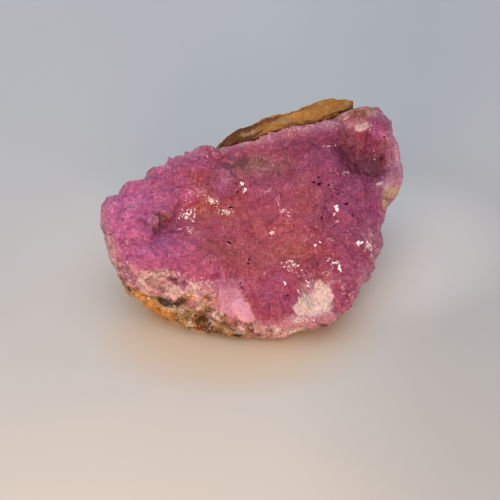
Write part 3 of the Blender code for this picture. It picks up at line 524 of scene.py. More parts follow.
class CalciteSettings(bpy.types.PropertyGroup):
    """Sizes and colours of the crystal crust."""

    relief: number_setting("Relief", "Height of the small crystals on the large ones", 1.0, min=0.0)
    line_spacing: number_setting(
        "Growth line spacing", "Distance between growth lines on a crystal face",
        0.0009, min=0.0001, unit="LENGTH",
    )
    # The bright little crystals are painted glints: near white and glowing.
    sparkle_size: number_setting(
        "Sparkle size", "Size of the bright little crystals over the usual one", 0.9, min=0.0
    )
    rose: colour_setting("Rose", "Colour of the middle of the face", (0.385, 0.053, 0.124))
    magenta: colour_setting("Magenta", "Colour of the left side of the face", (0.47, 0.096, 0.275))
    purple: colour_setting("Purple", "Colour of the right side of the face", (0.335, 0.050, 0.148))
    warm: colour_setting("Warm", "Iron-stained patches of the face", (0.43, 0.090, 0.060))
    olive: colour_setting("Olive", "Greyish hollow of the face", (0.29, 0.125, 0.105))
    # Deep is thick crystal's colour, darkened further as painted shade in pits, grooves and hollows.
    deep: colour_setting("Deep", "Pits, seen through thick crystal", (0.17, 0.025, 0.055))
    pale: colour_setting("Pale", "Thin edges and broken crystal", (0.66, 0.30, 0.40))
    cream: colour_setting("Cream", "White patch and flakes", (0.84, 0.61, 0.65))
    lilac: colour_setting("Lilac", "Greyish crystal of the right edge", (0.39, 0.145, 0.255))
    knot: colour_setting("Knot", "Iron-brown knots in the crust", (0.32, 0.09, 0.045))
    speck: colour_setting("Speck", "Black mineral specks", (0.045, 0.005, 0.018))


class RockSettings(bpy.types.PropertyGroup):
    """Sizes and colours of the host rock."""

    roughness: number_setting("Unevenness", "Height of the rock's breaks and grain", 1.0, min=0.0)
    ochre: colour_setting("Ochre", "Weathered skin", (0.54, 0.25, 0.062))
    orange: colour_setting("Orange", "Iron-rich skin", (0.85, 0.38, 0.10))
    tan: colour_setting("Tan", "Broken rock", (0.52, 0.34, 0.19))
    brown: colour_setting("Brown", "Shaded and damp rock", (0.185, 0.068, 0.032))
    vein: colour_setting("Vein", "Dark vein along the crust", (0.10, 0.065, 0.05))
    grain: colour_setting("Grain", "Whitish grains", (0.85, 0.74, 0.62))


class StageSettings(bpy.types.PropertyGroup):
    """The floor, the lights and the camera."""

    # The floor's colours carry painted light: cooler and darker at the back, and a warm glow in front.
    near_floor: colour_setting("Near floor", "Colour of the floor at the front", (0.72, 0.72, 0.72))
    far_floor: colour_setting("Far floor", "Colour of the floor at the back", (0.66, 0.68, 0.72))
    painted_warm_glow: colour_setting(
        "Warm floor", "Colour of the floor just in front of the specimen", (0.70, 0.60, 0.48)
    )
    sky_power: number_setting("Cool light", "Power of the cool light from above", 2.62, unit="POWER")
    lamp_power: number_setting(
        "Warm light", "Power of the warm light from the front left", 0.19, unit="POWER"
    )
    distance: number_setting(
        "Camera distance", "Distance from the camera to the face", 0.8, unit="LENGTH"
    )
    elevation: number_setting(
        "Camera elevation", "Height of the camera over the horizon", math.radians(42), subtype="ANGLE"
    )


def face_axes():
    """Unit vectors of the face's frame: right, up the slope, and out of the face."""
    level = math.cos(FACE_RISE)
    out = np.array([level * math.sin(FACE_TURN), -level * math.cos(FACE_TURN), math.sin(FACE_RISE)])
    up_slope = np.array([0.0, 0.0, 1.0]) - out[2] * out
    up_slope /= np.linalg.norm(up_slope)
    return np.stack([np.cross(up_slope, out), up_slope, out])


def from_face(points):
    """Points (u, v, w) of the face's frame, as world points."""
    return points @ face_axes() + FACE_CENTRE


def to_face(points):
    """World points as (u, v, w) of the face's frame."""
    return (points - FACE_CENTRE) @ face_axes().T


def slope_place(points):
    """How far world points are to the right of the face's centre, and up the front slope's plane."""
    lean = math.radians(SLOPE_LEAN)
    away = points - FACE_CENTRE
    return away[:, 0], away[:, 1] * math.sin(lean) + away[:, 2] * math.cos(lean)


def bearing(u, v):
    """The direction of (u, v) from the middle, in degrees from 0 to 360."""
    return np.degrees(np.arctan2(v, u)) % 360


def outward(angles):
    """Unit vectors in the directions of the angles, level with the first two axes."""
    turn = np.radians(angles)
    return np.stack([np.cos(turn), np.sin(turn), 0 * turn], axis=-1)


def around(table, angles):
    """Each column of a table of angle and values, read at the angles, in a closed loop."""
    rows = np.array(table, float)
    return [np.interp(angles, rows[:, 0], column, period=360) for column in rows[:, 1:].T]


def smooth(low, high, x):
    """0 up to low and 1 past high, with an even S between them. It falls where high is the smaller."""
    t = np.clip((x - low) / (high - low), 0, 1)
    return t * t * (3 - 2 * t)


def bell(u, v, u0, v0, radius_u, radius_v):
    """1 at (u0, v0), falling to nothing as a bell curve with those radii."""
    return np.exp(-(((u - u0) / radius_u) ** 2) - ((v - v0) / radius_v) ** 2)


def lattice_noise(points, cell, seed):
    """Random values from -1 to 1 on a cubic lattice of that cell size, blended between its corners."""
    table = np.random.default_rng(seed).uniform(-1, 1, (NOISE_CELLS,) * 3)
    scaled = points / cell
    corner = np.floor(scaled).astype(int)
    t = scaled - corner
    t = t * t * (3 - 2 * t)
    total = np.zeros(points.shape[:-1])
    for offset in itertools.product((0, 1), repeat=3):
        weight = np.prod(np.where(offset, t, 1 - t), axis=-1)
        index = np.moveaxis((corner + offset) % NOISE_CELLS, -1, 0)
        total += weight * table[tuple(index)]
    return total


def facet_noise(points, cell, seed, slope=0.7):
    """Flat facets that meet in ridges: the highest of the sloping planes of the seeds near each point.

    Each lattice cell has one seed, a plane through it with a random slope and height, and a bowl that
    lowers the plane away from the seed. Returns the height over the cell size, 0 on average, and
    a random tone from 0 to 1 for each facet.
    """
    size = points.shape[-1]
    random = np.random.default_rng(seed)
    shape = (NOISE_CELLS,) * size
    jitter = random.uniform(0.15, 0.85, shape + (size,))
    tilt = random.uniform(-slope, slope, shape + (size,))
    rise = random.uniform(-0.25, 0.25, shape)
    tones = random.uniform(0, 1, shape)
    scaled = points / cell
    corner = np.floor(scaled).astype(int)
    highest = np.full(points.shape[:-1], -9.0)
    tone = np.zeros(points.shape[:-1])
    for offset in itertools.product((-1, 0, 1), repeat=size):
        index = tuple(np.moveaxis((corner + offset) % NOISE_CELLS, -1, 0))
        away = scaled - corner - offset - jitter[index]
        plane = rise[index] + (away * tilt[index]).sum(axis=-1) - FACET_BOWL * (away * away).sum(axis=-1)
        tone = np.where(plane > highest, tones[index], tone)
        highest = np.maximum(highest, plane)
    return highest - highest.mean(), tone


def face_relief(u, v):
    """Height of the crystal face: the sum of a bell curve of the distance to each relief stretch."""
    height = np.zeros_like(u)
    for u1, v1, u2, v2, radius, rise in FACE_RELIEF:
        du, dv = u2 - u1, v2 - v1
        share = np.clip(((u - u1) * du + (v - v1) * dv) / (du * du + dv * dv), 0, 1)
        away = np.hypot(u - u1 - share * du, v - v1 - share * dv)
        height += rise * np.exp(-((away / radius) ** 2))
    return height


def face_height(u, v, share):
    """w of the crystal face, where share is 0 at its centre and 1 at its edge."""
    flat = np.stack([u, v, np.zeros_like(u)], axis=-1)
    height = face_relief(u, v)
    height += 0.8 * lattice_noise(flat, 6.0, 1) + 0.35 * lattice_noise(flat, 2.6, 2)
    height -= RIM_DROP * share**9
    return np.maximum(height, DEEPEST_PIT)


def calmness(u, v):
    """Share of the crystals' relief that shows, lower in the patches that grew nearly flat."""
    share = np.ones_like(u)
    for u0, v0, radius, calm in CALM_PATCHES:
        share *= 1 - calm * bell(u, v, u0, v0, radius, radius)
    return np.maximum(share, CALMEST)


def edge_reach(angles):
    """How far past the crust's edge a crystal may reach: hardly at all where the ledge stands."""
    beside_ledge = smooth(36, 40, angles) * smooth(116, 110, angles)
    return EDGE_REACH + (LEDGE_REACH - EDGE_REACH) * beside_ledge


def field_crystals():
    """Crystals over the whole face on a jittered hexagonal pattern, as low pyramids and level blocks."""
    random = np.random.default_rng(FIELD_SEED)
    steps = np.arange(-12, 13)
    row, column = np.meshgrid(steps, steps, indexing="ij")
    u = (column + 0.5 * (row % 2)) * FIELD_SPACING + random.uniform(-1, 1, row.shape) * FIELD_JITTER
    v = row * FIELD_SPACING * math.sqrt(0.75) + random.uniform(-1, 1, row.shape) * FIELD_JITTER
    u, v = u.ravel(), v.ravel()
    angle = bearing(u, v)
    edge = around(CRUST_EDGE, angle)[0]
    away = np.hypot(u, v)
    flatness = random.uniform(*FIELD_FLATNESS, u.shape)
    smallest, largest = FIELD_RADIUS
    radius = smallest + (largest - smallest) * random.uniform(0, 1, u.shape) ** 1.5
    ground = face_height(u, v, np.minimum(away / edge, 1))
    room = (ground + CRUST_THICKNESS - ROOT_CLEARANCE) / (FIELD_ROOT + flatness)
    radius = np.minimum(np.minimum(radius, room), edge - away + edge_reach(angle))
    block = random.uniform(0, 1, u.shape) < 0.25 + 0.45 * smooth(0, -14, u)
    tilt = np.where(block, BLOCK_TILT, 0) + random.uniform(-0.3, 0.3, u.shape) * FIELD_TILT
    tilt += np.where(block, 0, 0.6 * FIELD_TILT)
    turn = random.uniform(0, 360, u.shape)
    spin = np.where(block, 0.15, 1) * random.uniform(-60, 60, u.shape)
    rows = np.stack([u, v, ground - FIELD_ROOT * radius, radius, flatness, tilt, turn, spin], axis=1)
    return rows[(away < edge) & (radius > SMALLEST_CRYSTAL)]


def rhomb_frames(rows):
    """Each rhomb's two directions across its axis and its axis, scaled to its radius and half length."""
    radius, flatness, tilt, turn, spin = rows[:, 3:8].T
    away, across = outward(turn), outward(turn)[:, [1, 0, 2]] * [-1, 1, 1]
    tilt, spin = np.radians(tilt)[:, None], np.radians(spin)[:, None]
    up = np.array([0.0, 0.0, 1.0])
    axis = np.sin(tilt) * away + np.cos(tilt) * up
    fore = np.cos(tilt) * away - np.sin(tilt) * up
    first = np.cos(spin) * fore + np.sin(spin) * across
    second = np.cos(spin) * across - np.sin(spin) * fore
    return np.stack([first, second, axis * flatness[:, None]], axis=1) * radius[:, None, None]


def rhomb_corners(rows):
    """The eight corners of each rhomb: an apex at each end, and three corners at each third."""
    ring = outward([0, 120, 240, 60, 180, 300])
    ring[:, 2] = np.repeat([1 / 3, -1 / 3], 3)
    shape = np.concatenate([[[0, 0, 1]], ring, [[0, 0, -1]]])
    return np.einsum("pk,nkc->npc", shape, rhomb_frames(rows)) + rows[:, None, :3]


def rhomb_planes(rows):
    """The six faces of each rhomb, as normals whose product with a point of the face is RHOMB_FACE."""
    turn = np.radians([60, 180, 300, 0, 120, 240])
    normals = np.stack([np.cos(turn), np.sin(turn), np.repeat([RHOMB_FACE, -RHOMB_FACE], 3)])
    return np.swapaxes(np.linalg.inv(rhomb_frames(rows)) @ normals, 1, 2)


def grow(height, growth, tone, u, v, rows, seed):
    """Raises the face to the top of each rhomb, in place.

    Over a point, a rhomb reaches from the highest of its downward faces to the lowest of its upward
    ones. growth becomes how far that lowest face is under the next one: 0 along the crystal's edges,
    and even along lines parallel to them. tone becomes a random number of that face of that crystal.
    """
    tones = np.random.default_rng(seed).uniform(0, 1, (len(rows), 6))
    for row, planes, six in zip(rows, rhomb_planes(rows), tones):
        reach = row[3] * max(1.0, row[4])
        near = np.nonzero((abs(u - row[0]) < reach) & (abs(v - row[1]) < reach))[0]
        du, dv = u[near] - row[0], v[near] - row[1]
        level = (RHOMB_FACE - planes[:, :1] * du - planes[:, 1:2] * dv) / planes[:, 2:] + row[2]
        upward = planes[:, 2] > 0
        order = np.argsort(level[upward], axis=0)
        tops = np.take_along_axis(level[upward], order, axis=0)
        bottom = level[~upward].max(axis=0)
        raised = (tops[0] > bottom) & (tops[0] > height[near])
        height[near[raised]] = tops[0][raised]
        growth[near[raised]] = (tops[1] - tops[0])[raised]
        tone[near[raised]] = six[upward][order[0]][raised]


def face_grid():
    """A square grid laid over the face, whose squares become rings round its centre.

    The share of the way to the edge is the larger of |a| and |b|, and the angle runs evenly along
    each side of the square.
    """
    line = np.linspace(-1, 1, FACE_COUNT)
    b, a = np.meshgrid(line, line, indexing="ij")
    share = np.maximum(abs(a), abs(b))
    wide = abs(a) >= abs(b)
    with np.errstate(divide="ignore", invalid="ignore"):
        angle = np.where(
            wide, np.where(a > 0, 0, 180) + 45 * b / a, np.where(b > 0, 90, 270) - 45 * a / b
        )
    return share, np.nan_to_num(angle) % 360


def nearest_on_grid(u, v):
    """Index of the face grid's point nearest to each (u, v), by undoing face_grid."""
    angle = bearing(u, v)
    share = np.clip(np.hypot(u, v) / around(CRUST_EDGE, angle)[0], 0, 1)
    side = np.floor((angle + 45) / 90).astype(int) % 4
    along = (angle - 90 * side + 180) % 360 - 180
    ahead, sideways = share, share * along / 45
    a = np.choose(side, [ahead, -sideways, -ahead, sideways])
    b = np.choose(side, [sideways, ahead, -sideways, -ahead])
    column = np.rint((a + 1) / 2 * (FACE_COUNT - 1)).astype(int)
    row = np.rint((b + 1) / 2 * (FACE_COUNT - 1)).astype(int)
    return row * FACE_COUNT + column


def grid_index(count):
    """The numbers of the points of a square grid, row by row."""
    return np.arange(count * count).reshape(count, count)


def grid_border():
    """Indices of the face grid's border, anticlockwise from its lower right corner."""
    index = grid_index(FACE_COUNT)
    return np.concatenate([index[:-1, -1], index[-1, :0:-1], index[:0:-1, 0], index[0, :-1]])


def grid_quads(count):
    """Corner indices of the quads of a square grid."""
    index = grid_index(count)
    corners = [index[:-1, :-1], index[:-1, 1:], index[1:, 1:], index[1:, :-1]]
    return np.stack(corners, axis=-1).reshape(-1, 4)


def crust_edge(angles):
    """Radius of the crystal edge and of the underside, with the small teeth of broken crystals."""
    front, under = around(CRUST_EDGE, angles)
    stepped = around(BLOCK_STEPS, angles)[0]
    blocks = smooth(103, 106, angles) * smooth(177, 173, angles)
    under = under + (stepped - front) * blocks * 0.7
    front = front + (stepped - front) * blocks
    ring = front[..., None] * outward(angles)
    teeth = 0.35 * lattice_noise(ring, 1.9, 21) + 0.2 * lattice_noise(ring, 0.8, 22)
    teeth *= 1 - 0.8 * blocks
    return front + teeth - 0.2, under + 0.6 * teeth - 0.15


def soften(height):
    """Each point of the grid moves toward the average of the points round it."""
    wide = np.pad(height, 1, mode="edge")
    rows = 0.25 * wide[:-2] + 0.5 * wide[1:-1] + 0.25 * wide[2:]
    return 0.25 * rows[:, :-2] + 0.5 * rows[:, 1:-1] + 0.25 * rows[:, 2:]


def second_growth(rows, height, seed, per_crystal, sizes, stand):
    """Smaller crystals on each crystal, nearly parallel to it, rooted in the face as it stands."""
    random = np.random.default_rng(seed)
    made = np.repeat(rows, per_crystal, axis=0)
    count = len(made)
    direction = random.uniform(0, 2 * math.pi, count)
    away = made[:, 3] * np.sqrt(random.uniform(0.02, 0.9, count))
    made[:, 0] += away * np.cos(direction)
    made[:, 1] += away * np.sin(direction)
    made[:, 3] *= random.uniform(*sizes, count)
    made[:, 4] = np.clip(made[:, 4] * random.uniform(0.85, 1.15, count), 0.7, 1.2)
    made[:, 5] += random.normal(0, 7, count)
    made[:, 6] += random.normal(0, 9, count)
    made[:, 7] += random.normal(0, 7, count)
    made[:, 2] = 0
    u, v = made[:, :2].T
    top = rhomb_corners(made)[:, :, 2].max(axis=1)
    proud = made[:, 3] * random.uniform(*stand, count) * calmness(u, v)
    made[:, 2] = height[nearest_on_grid(u, v)] - top + proud
    return made[np.hypot(u, v) < around(CRUST_EDGE, bearing(u, v))[0] - 0.2]


@functools.lru_cache
def crust_surface(relief):
    """The face as a square grid: its points, growth distances, tones and shares of the way out."""
    share, angle = face_grid()
    front = crust_edge(angle)[0]
    smooth_front = around(CRUST_EDGE, angle)[0]
    radius = share * (smooth_front + (front - smooth_front) * share**8)
    turn = np.radians(angle)
    u, v = (radius * np.cos(turn)).ravel(), (radius * np.sin(turn)).ravel()
    share = share.ravel()
    base = face_height(u, v, share)
    height = base.copy()
    growth = 2.0 + 0 * u
    tone = np.full_like(u, 0.5)
    rows = np.concatenate([np.array(LARGE_CRYSTALS, float), field_crystals()])
    grow(height, growth, tone, u, v, rows, 33)
    calm = calmness(u, v)
    height = base + (height - base) * calm
    growth += 2.0 * (1 - calm)
    spare = growth.copy()
    rows = rows[np.hypot(rows[:, 0] - KITE[0], rows[:, 1] - KITE[1]) > KITE_BARE]
    for seed, per_crystal, sizes, stand, shown in (
        (31, 4, (0.35, 0.6), (0.05, 0.16), growth), (32, 8, (0.14, 0.28), (0.03, 0.16), spare)
    ):
        small = second_growth(rows, height, seed, per_crystal, sizes, stand)
        grow(height, shown, tone, u, v, small, seed + 3)
    height = soften(height.reshape(FACE_COUNT, FACE_COUNT)).ravel()
    flat = np.stack([u, v], axis=-1)
    solid = np.stack([u, v, 1.5 * height], axis=-1)
    rough = relief * (1 - 0.7 * smooth(-4, -12, u)) * (1 - bell(u, v, *KITE, 3.2, 3.0))
    height += rough * (0.10 * facet_noise(flat, 1.3, 41)[0] + 0.05 * facet_noise(flat, 0.6, 42)[0])
    height += 0.03 * lattice_noise(solid, 0.45, 43)
    return np.stack([u, v, height], axis=-1), np.minimum(growth, MOST_GROWTH), tone, share


def evenly(colour, points):
    """One colour for each of the points."""
    return np.tile(np.array(colour), (len(points), 1))


def blend(colour, other, share):
    """The colours moved toward another colour by a share."""
    return colour + (np.asarray(other) - colour) * share[..., None]


def face_colours(points, share, tone, palette):
    """Colour of the face: magenta at the left through rose to purple, then the stained patches. The
    right is darker than the left partly by the crystal's own colour and partly as painted light.

    Each crystal face is a little lighter or darker by its tone.
    """
    u = points[:, 0] + 1.4 * lattice_noise(points, 3.1, 51) + 0.7 * lattice_noise(points, 1.2, 52)
    v = points[:, 1] + 1.4 * lattice_noise(points, 3.1, 53) + 0.7 * lattice_noise(points, 1.2, 54)
    colour = evenly(palette["rose"], points)
    # Lighter magenta at the left to darker purple at the right: partly own colour, partly painted light.
    colour = blend(colour, palette["magenta"], smooth(-6, -24, u))
    colour = blend(colour, palette["purple"], smooth(8, 24, u))
    for name, u0, v0, radius_u, radius_v, strength in FACE_TINTS:
        colour = blend(colour, palette[name], strength * bell(u, v, u0, v0, radius_u, radius_v))
    colour = stained(colour, from_face(points), np.ones(len(points)), palette, FACE_STAINS)
    colour = colour * (1 + (tone - 0.5) * (0.25 + 0.4 * calmness(u, v)))[:, None]
    return blend(colour, palette["pale"], 0.4 * smooth(0.93, 1.0, share))


def edge_colours(points, palette):
    """Colour of the broken edge: facets of pale crystal, cream and magenta, stained near the rock."""
    u, v, w = points.T
    angle = bearing(u, v)
    front = smooth(182, 192, angle) * smooth(300, 280, angle)
    tone = facet_noise(points, 1.9, 71, 1.0)[1]
    fleck = facet_noise(points, 0.8, 72, 1.0)[1]
    mixed = 0.65 * tone + 0.35 * fleck
    colour = evenly(palette["pale"], points)
    colour = blend(colour, palette["magenta"], (0.75 - 0.25 * front) * smooth(0.55, 0.75, mixed))
    colour = blend(colour, palette["cream"], (0.3 + 0.3 * front) * smooth(0.42, 0.3, mixed))
    low = smooth(-5.4, -7.0, w + 0.9 * lattice_noise(points, 1.2, 73)) * (1 - 0.7 * front)
    colour = blend(colour, palette["knot"], 0.6 * low)
    stain = smooth(0.3, 0.6, lattice_noise(points, 1.8, 74)) * smooth(-2.5, -5, w)
    colour = blend(colour, palette["warm"], 0.6 * stain * (1 - front))
    return stained(colour, from_face(points), front, palette)


def stained(colour, points, shown, palette, stains=FRONT_STAINS):
    """The colours with a table of stains laid over them, as strongly as shown says for each point.

    A point's place on the slope is how far it is to the right, and how far up the slope's plane, which
    leans back from the floor. Noise makes the stains' borders ragged.
    """
    across, up = slope_place(points)
    across = across + 0.35 * lattice_noise(points, 1.6, 131) + 0.25 * lattice_noise(points, 0.6, 132)
    up = up + 0.35 * lattice_noise(points, 1.6, 133) + 0.25 * lattice_noise(points, 0.6, 134)
    for name, across0, up0, radius_along, radius_over, turn, strength in stains:
        a = math.radians(turn)
        along = (across - across0) * math.cos(a) + (up - up0) * math.sin(a)
        over = (up - up0) * math.cos(a) - (across - across0) * math.sin(a)
        near = bell(along, over, 0, 0, radius_along, radius_over)
        colour = blend(colour, palette[name], strength * shown * smooth(0.22, 0.48, near))
    return colour


def crust_mesh(relief, palette):
    """The whole crust: the face, the broken edge down to the rock, and the underside.

    The edge is rings that run from the crystal edge's radius to the underside's, pushed in and out by
    facets of two sizes. The push fades in under the crystal edge.
    """
    face, growth, tone, share = crust_surface(relief)
    border = grid_border()
    rim = face[border]
    angles = bearing(rim[:, 0], rim[:, 1])
    out = outward(angles)
    under = crust_edge(angles)[1]
    front = np.hypot(rim[:, 0], rim[:, 1])
    bottom = -CRUST_THICKNESS - SEAM_GAP - 0.05
    fall = np.linspace(0, 1, EDGE_RINGS + 1)[1:, None]
    radius = front + (under - front) * fall
    wall = out * radius[..., None]
    wall[..., 2] = rim[:, 2] + (bottom - rim[:, 2]) * fall
    push = 0.9 * lattice_noise(wall, 3.4, 3) * np.sin(math.pi * fall)
    detail = 1.5 * facet_noise(wall, 2.3, 61, 1.0)[0] + 0.8 * facet_noise(wall, 0.95, 62, 1.0)[0]
    detail += 0.16 * lattice_noise(wall, 0.4, 63)
    window = np.minimum(1, 5 * fall) * np.minimum(1, 6 * (1 - fall) + 0.35)
    wall = wall + np.minimum(push + detail * window, MOST_PUSH)[..., None] * out
    wall[..., 2] += 0.5 * window * (1 - fall) * lattice_noise(wall, 1.3, 64)
    inner = wall[-1] * [0.7, 0.7, 1]
    points = np.concatenate([face, wall.reshape(-1, 3), inner, [[0, 0, bottom]]])
    growth = np.concatenate([growth, np.full(len(points) - len(face), BROKEN)])
    colours = [face_colours(face, share, tone, palette), edge_colours(points[len(face):], palette)]
    return points, growth, np.concatenate(colours), crust_faces(border, EDGE_RINGS + 1, len(points) - 1)


def crust_faces(border, ring_count, pole):
    """Corner indices of the crust's quads, and of the triangles round the pole of the underside."""
    quads = [grid_quads(FACE_COUNT)]
    upper = border
    for ring in range(ring_count):
        lower = FACE_COUNT**2 + len(border) * ring + np.arange(len(border))
        quads.append(np.stack([upper, lower, np.roll(lower, -1), np.roll(upper, -1)], axis=1))
        upper = lower
    fan = np.stack([upper, np.full_like(upper, pole), np.roll(upper, -1)], axis=1)
    return [np.concatenate(quads), fan]


def chip_off(points, azimuth, rise, distance):
    """Points beyond a plane are brought back onto it: a flat break across the rock."""
    a, e = math.radians(azimuth), math.radians(rise)
    out = np.array([math.cos(e) * math.cos(a), math.cos(e) * math.sin(a), math.sin(e)])
    middle = np.array([FACE_CENTRE[0], FACE_CENTRE[1] + ROCK_MIDDLE_BACK, ROCK_MIDDLE_HEIGHT])
    beyond = np.maximum((points - middle) @ out - distance, 0)
    return points - beyond[..., None] * out


def shoulder_rings(angles):
    """The rock's seat under the crust, the step beside the crust, and the top of the shoulder.

    Returns the rings and the height in w of the shoulder.
    """
    circle = outward(angles)
    front, under = around(CRUST_EDGE, angles)
    shoulder = around(ROCK_SHOULDER, angles)[0]
    seat = -CRUST_THICKNESS - SEAM_GAP
    top = around(SHOULDER_HEIGHT, angles)[0]
    beside = np.minimum(np.maximum(front, under) + 0.1, shoulder - 0.8)
    inner = np.where(smooth(0.3, 1.5, top - seat) > 0, beside, shoulder - 0.4)
    rings = [circle * (part * inner)[:, None] + [0, 0, seat] for part in (0.0, 0.5, 0.9, 1.0)]
    for part in (0.35, 0.7, 1.0):
        level = circle * (inner + 0.3 * part)[:, None]
        level[:, 2] = seat + (top - seat) * part
        rings.append(level)
    for part in np.linspace(0, 1, 21)[1:]:
        level = circle * (inner + 0.3 + (shoulder - inner - 0.3) * part)[:, None]
        level[:, 2] = top
        rings.append(level)
    return [from_face(level) for level in rings], top


def wall_rings(rim, angles, shoulder_top):
    """The rock's wall from the shoulder's rim down to the flat foot.

    It runs in as a power of the way down, bulges, is pushed in and out by noise, and is cut by flat
    breaks. It stays under the shoulder and above the floor.
    """
    foot, fullness = around(FOOT, angles)
    stand = FACE_CENTRE * (1, 1, 0) + foot[:, None] * outward(angles)
    out = face_axes()[2]
    rings = []
    for fall in np.linspace(0, 1, WALL_RINGS + 1)[1:]:
        inward = (fall ** (0.7 + 1.1 * fullness))[:, None]
        part = np.concatenate([inward, inward, np.full_like(inward, fall)], axis=1)
        level = rim + (stand - rim) * part
        bulge = 1 + WALL_BULGE * math.sin(math.pi * fall) * fullness[:, None]
        level[:, :2] = FACE_CENTRE[:2] + (level[:, :2] - FACE_CENTRE[:2]) * bulge
        spread = (level - FACE_CENTRE) * [1, 1, 0]
        spread /= np.linalg.norm(spread, axis=1, keepdims=True)
        place = level - FACE_CENTRE
        rough = 1.3 * lattice_noise(place, 7.0, 4) + 0.7 * lattice_noise(place, 3.2, 5)
        level += spread * (rough * math.sin(math.pi * min(fall + 0.1, 1)))[:, None]
        for azimuth, rise, distance in CORNER_CHIPS:
            level = chip_off(level, azimuth, rise, distance)
        level -= np.maximum((level - FACE_CENTRE) @ out - shoulder_top, 0)[:, None] * out
        level[:, 2] = np.maximum(level[:, 2], 0)
        rings.append(level)
    return rings


@functools.lru_cache
def rock_surface(unevenness):
    """Rings of the rock, from its seat over the shoulder and down the wall to the flat foot.

    Facets of three sizes and a finer noise push them along the surface's own normal.
    """
    angles = np.arange(ROCK_STEPS) * 360 / ROCK_STEPS
    rings, shoulder_top = shoulder_rings(angles)
    points = np.array(rings + wall_rings(rings[-1], angles, shoulder_top))
    along = np.roll(points, -1, axis=1) - np.roll(points, 1, axis=1)
    normal = np.cross(np.gradient(points, axis=0), along)
    normal /= np.maximum(np.linalg.norm(normal, axis=-1, keepdims=True), 1e-9)
    flat = points.reshape(-1, 3)
    u, v, w = to_face(flat).T
    angle = bearing(u, v)
    front_side = smooth(186, 196, angle) * smooth(262, 240, angle)
    detail = facet_noise(flat, 4.2, 81)[0] + 1.2 * facet_noise(flat, 1.7, 82, 1.0)[0]
    detail += (0.4 + 0.5 * front_side) * facet_noise(flat, 0.8, 83, 1.0)[0]
    detail += 0.16 * lattice_noise(flat, 0.4, 84)
    pits = smooth(0.35, 0.75, lattice_noise(flat, 1.5, 85)) * (0.3 + 0.7 * front_side)
    detail = np.minimum(detail - 0.7 * pits, 0.45)
    ring_number = np.repeat(np.arange(len(points)), ROCK_STEPS)
    quiet = smooth(0.0, 1.5, flat[:, 2]) * smooth(3.5, 10, ring_number)
    on_ledge = smooth(8, 12, ring_number) * smooth(30, 26, ring_number) * (w > -6)
    detail *= 1 - 0.55 * on_ledge
    moved = flat + normal.reshape(-1, 3) * (unevenness * detail * quiet)[:, None]
    moved[:, 2] = np.maximum(moved[:, 2], 0)
    points = moved.reshape(points.shape)
    points[-1, :, 2] = 0
    middle = FACE_CENTRE * (1, 1, 0)
    closing = [middle + (points[-1] - middle) * part for part in (0.6, 0.0)]
    return np.concatenate([points, closing])


def ring_points(rings):
    """The rings' points in one list, with the first and the last ring as a single point each."""
    return np.concatenate([rings[0, :1], rings[1:-1].reshape(-1, 3), rings[-1, :1]])


def ring_faces(ring_count, steps):
    """Quads between rings of points, and the fans that close the first and the last onto a pole."""
    start = 1 + steps * np.arange(ring_count - 2)
    here = np.arange(steps)
    after = (here + 1) % steps
    quads = [
        np.stack([low + here, high + here, high + after, low + after], axis=1)
        for low, high in zip(start[:-1], start[1:])
    ]
    last = 1 + steps * (ring_count - 2)
    top = np.stack([np.zeros(steps, int), start[0] + here, start[0] + after], axis=1)
    base = np.stack([np.full(steps, last), start[-1] + after, start[-1] + here], axis=1)
    return [np.concatenate(quads), np.concatenate([top, base])]


def on_the_ledge(angle, w):
    """1 on the ledge behind the crust's top edge, and 0 elsewhere."""
    return smooth(-5.5, -4.0, w) * smooth(30, 40, angle) * smooth(112, 106, angle)


def rock_colours(points, palette):
    """Colour of the rock: brown and tan where it broke, ochre skin, a dark vein under the crust."""
    u, v, w = to_face(points).T
    angle = bearing(u, v)
    big = lattice_noise(points, 6.0, 91)
    mid = lattice_noise(points, 2.2, 92)
    small = lattice_noise(points, 0.9, 93)
    colour = evenly(palette["tan"], points)
    colour = blend(colour, palette["brown"], smooth(-0.2, 0.7, big + 0.6 * mid))
    skin = smooth(0.0, 0.5, lattice_noise(points, 8.0, 94) + 0.4 * mid + 0.15)
    colour = blend(colour, palette["ochre"], 0.85 * skin)
    rusty = smooth(0.2, 0.8, lattice_noise(points, 4.0, 95) + 0.5 * small)
    colour = blend(colour, palette["orange"], 0.6 * rusty)
    front = smooth(186, 194, angle) * smooth(290, 275, angle)
    colour = stained(colour, points, front, palette)
    grains = front * smooth(0.45, 0.75, lattice_noise(points, 0.8, 96)) * smooth(205, 215, angle)
    colour = blend(colour, palette["grain"], 0.5 * grains)
    ledge = on_the_ledge(angle, w)
    colour = blend(colour, palette["ochre"], 0.95 * ledge)
    colour = blend(colour, palette["brown"], 0.35 * ledge * smooth(0.2, 0.8, mid + 0.6 * small))
    colour = stained(colour, points, ledge, palette, LEDGE_STAINS)
    turned = (angle + 180) % 360 - 180
    ear = smooth(-12, -4, turned) * smooth(20, 14, turned) * smooth(-9.5, -8.0, w)
    skin = blend(evenly(palette["pale"], points), palette["tan"], 0.5 + 0.5 * mid)
    colour = blend(colour, skin, 0.9 * ear)
    return blend(colour, palette["brown"], 0.5 * ear * smooth(0.3, 0.7, small + 0.5 * mid))


def write_attribute(mesh, name, kind, field, values):
    """An attribute of the mesh's points."""
    layer = mesh.attributes.new(name, kind, "POINT")
    layer.data.foreach_set(field, values.astype(np.float32).ravel())


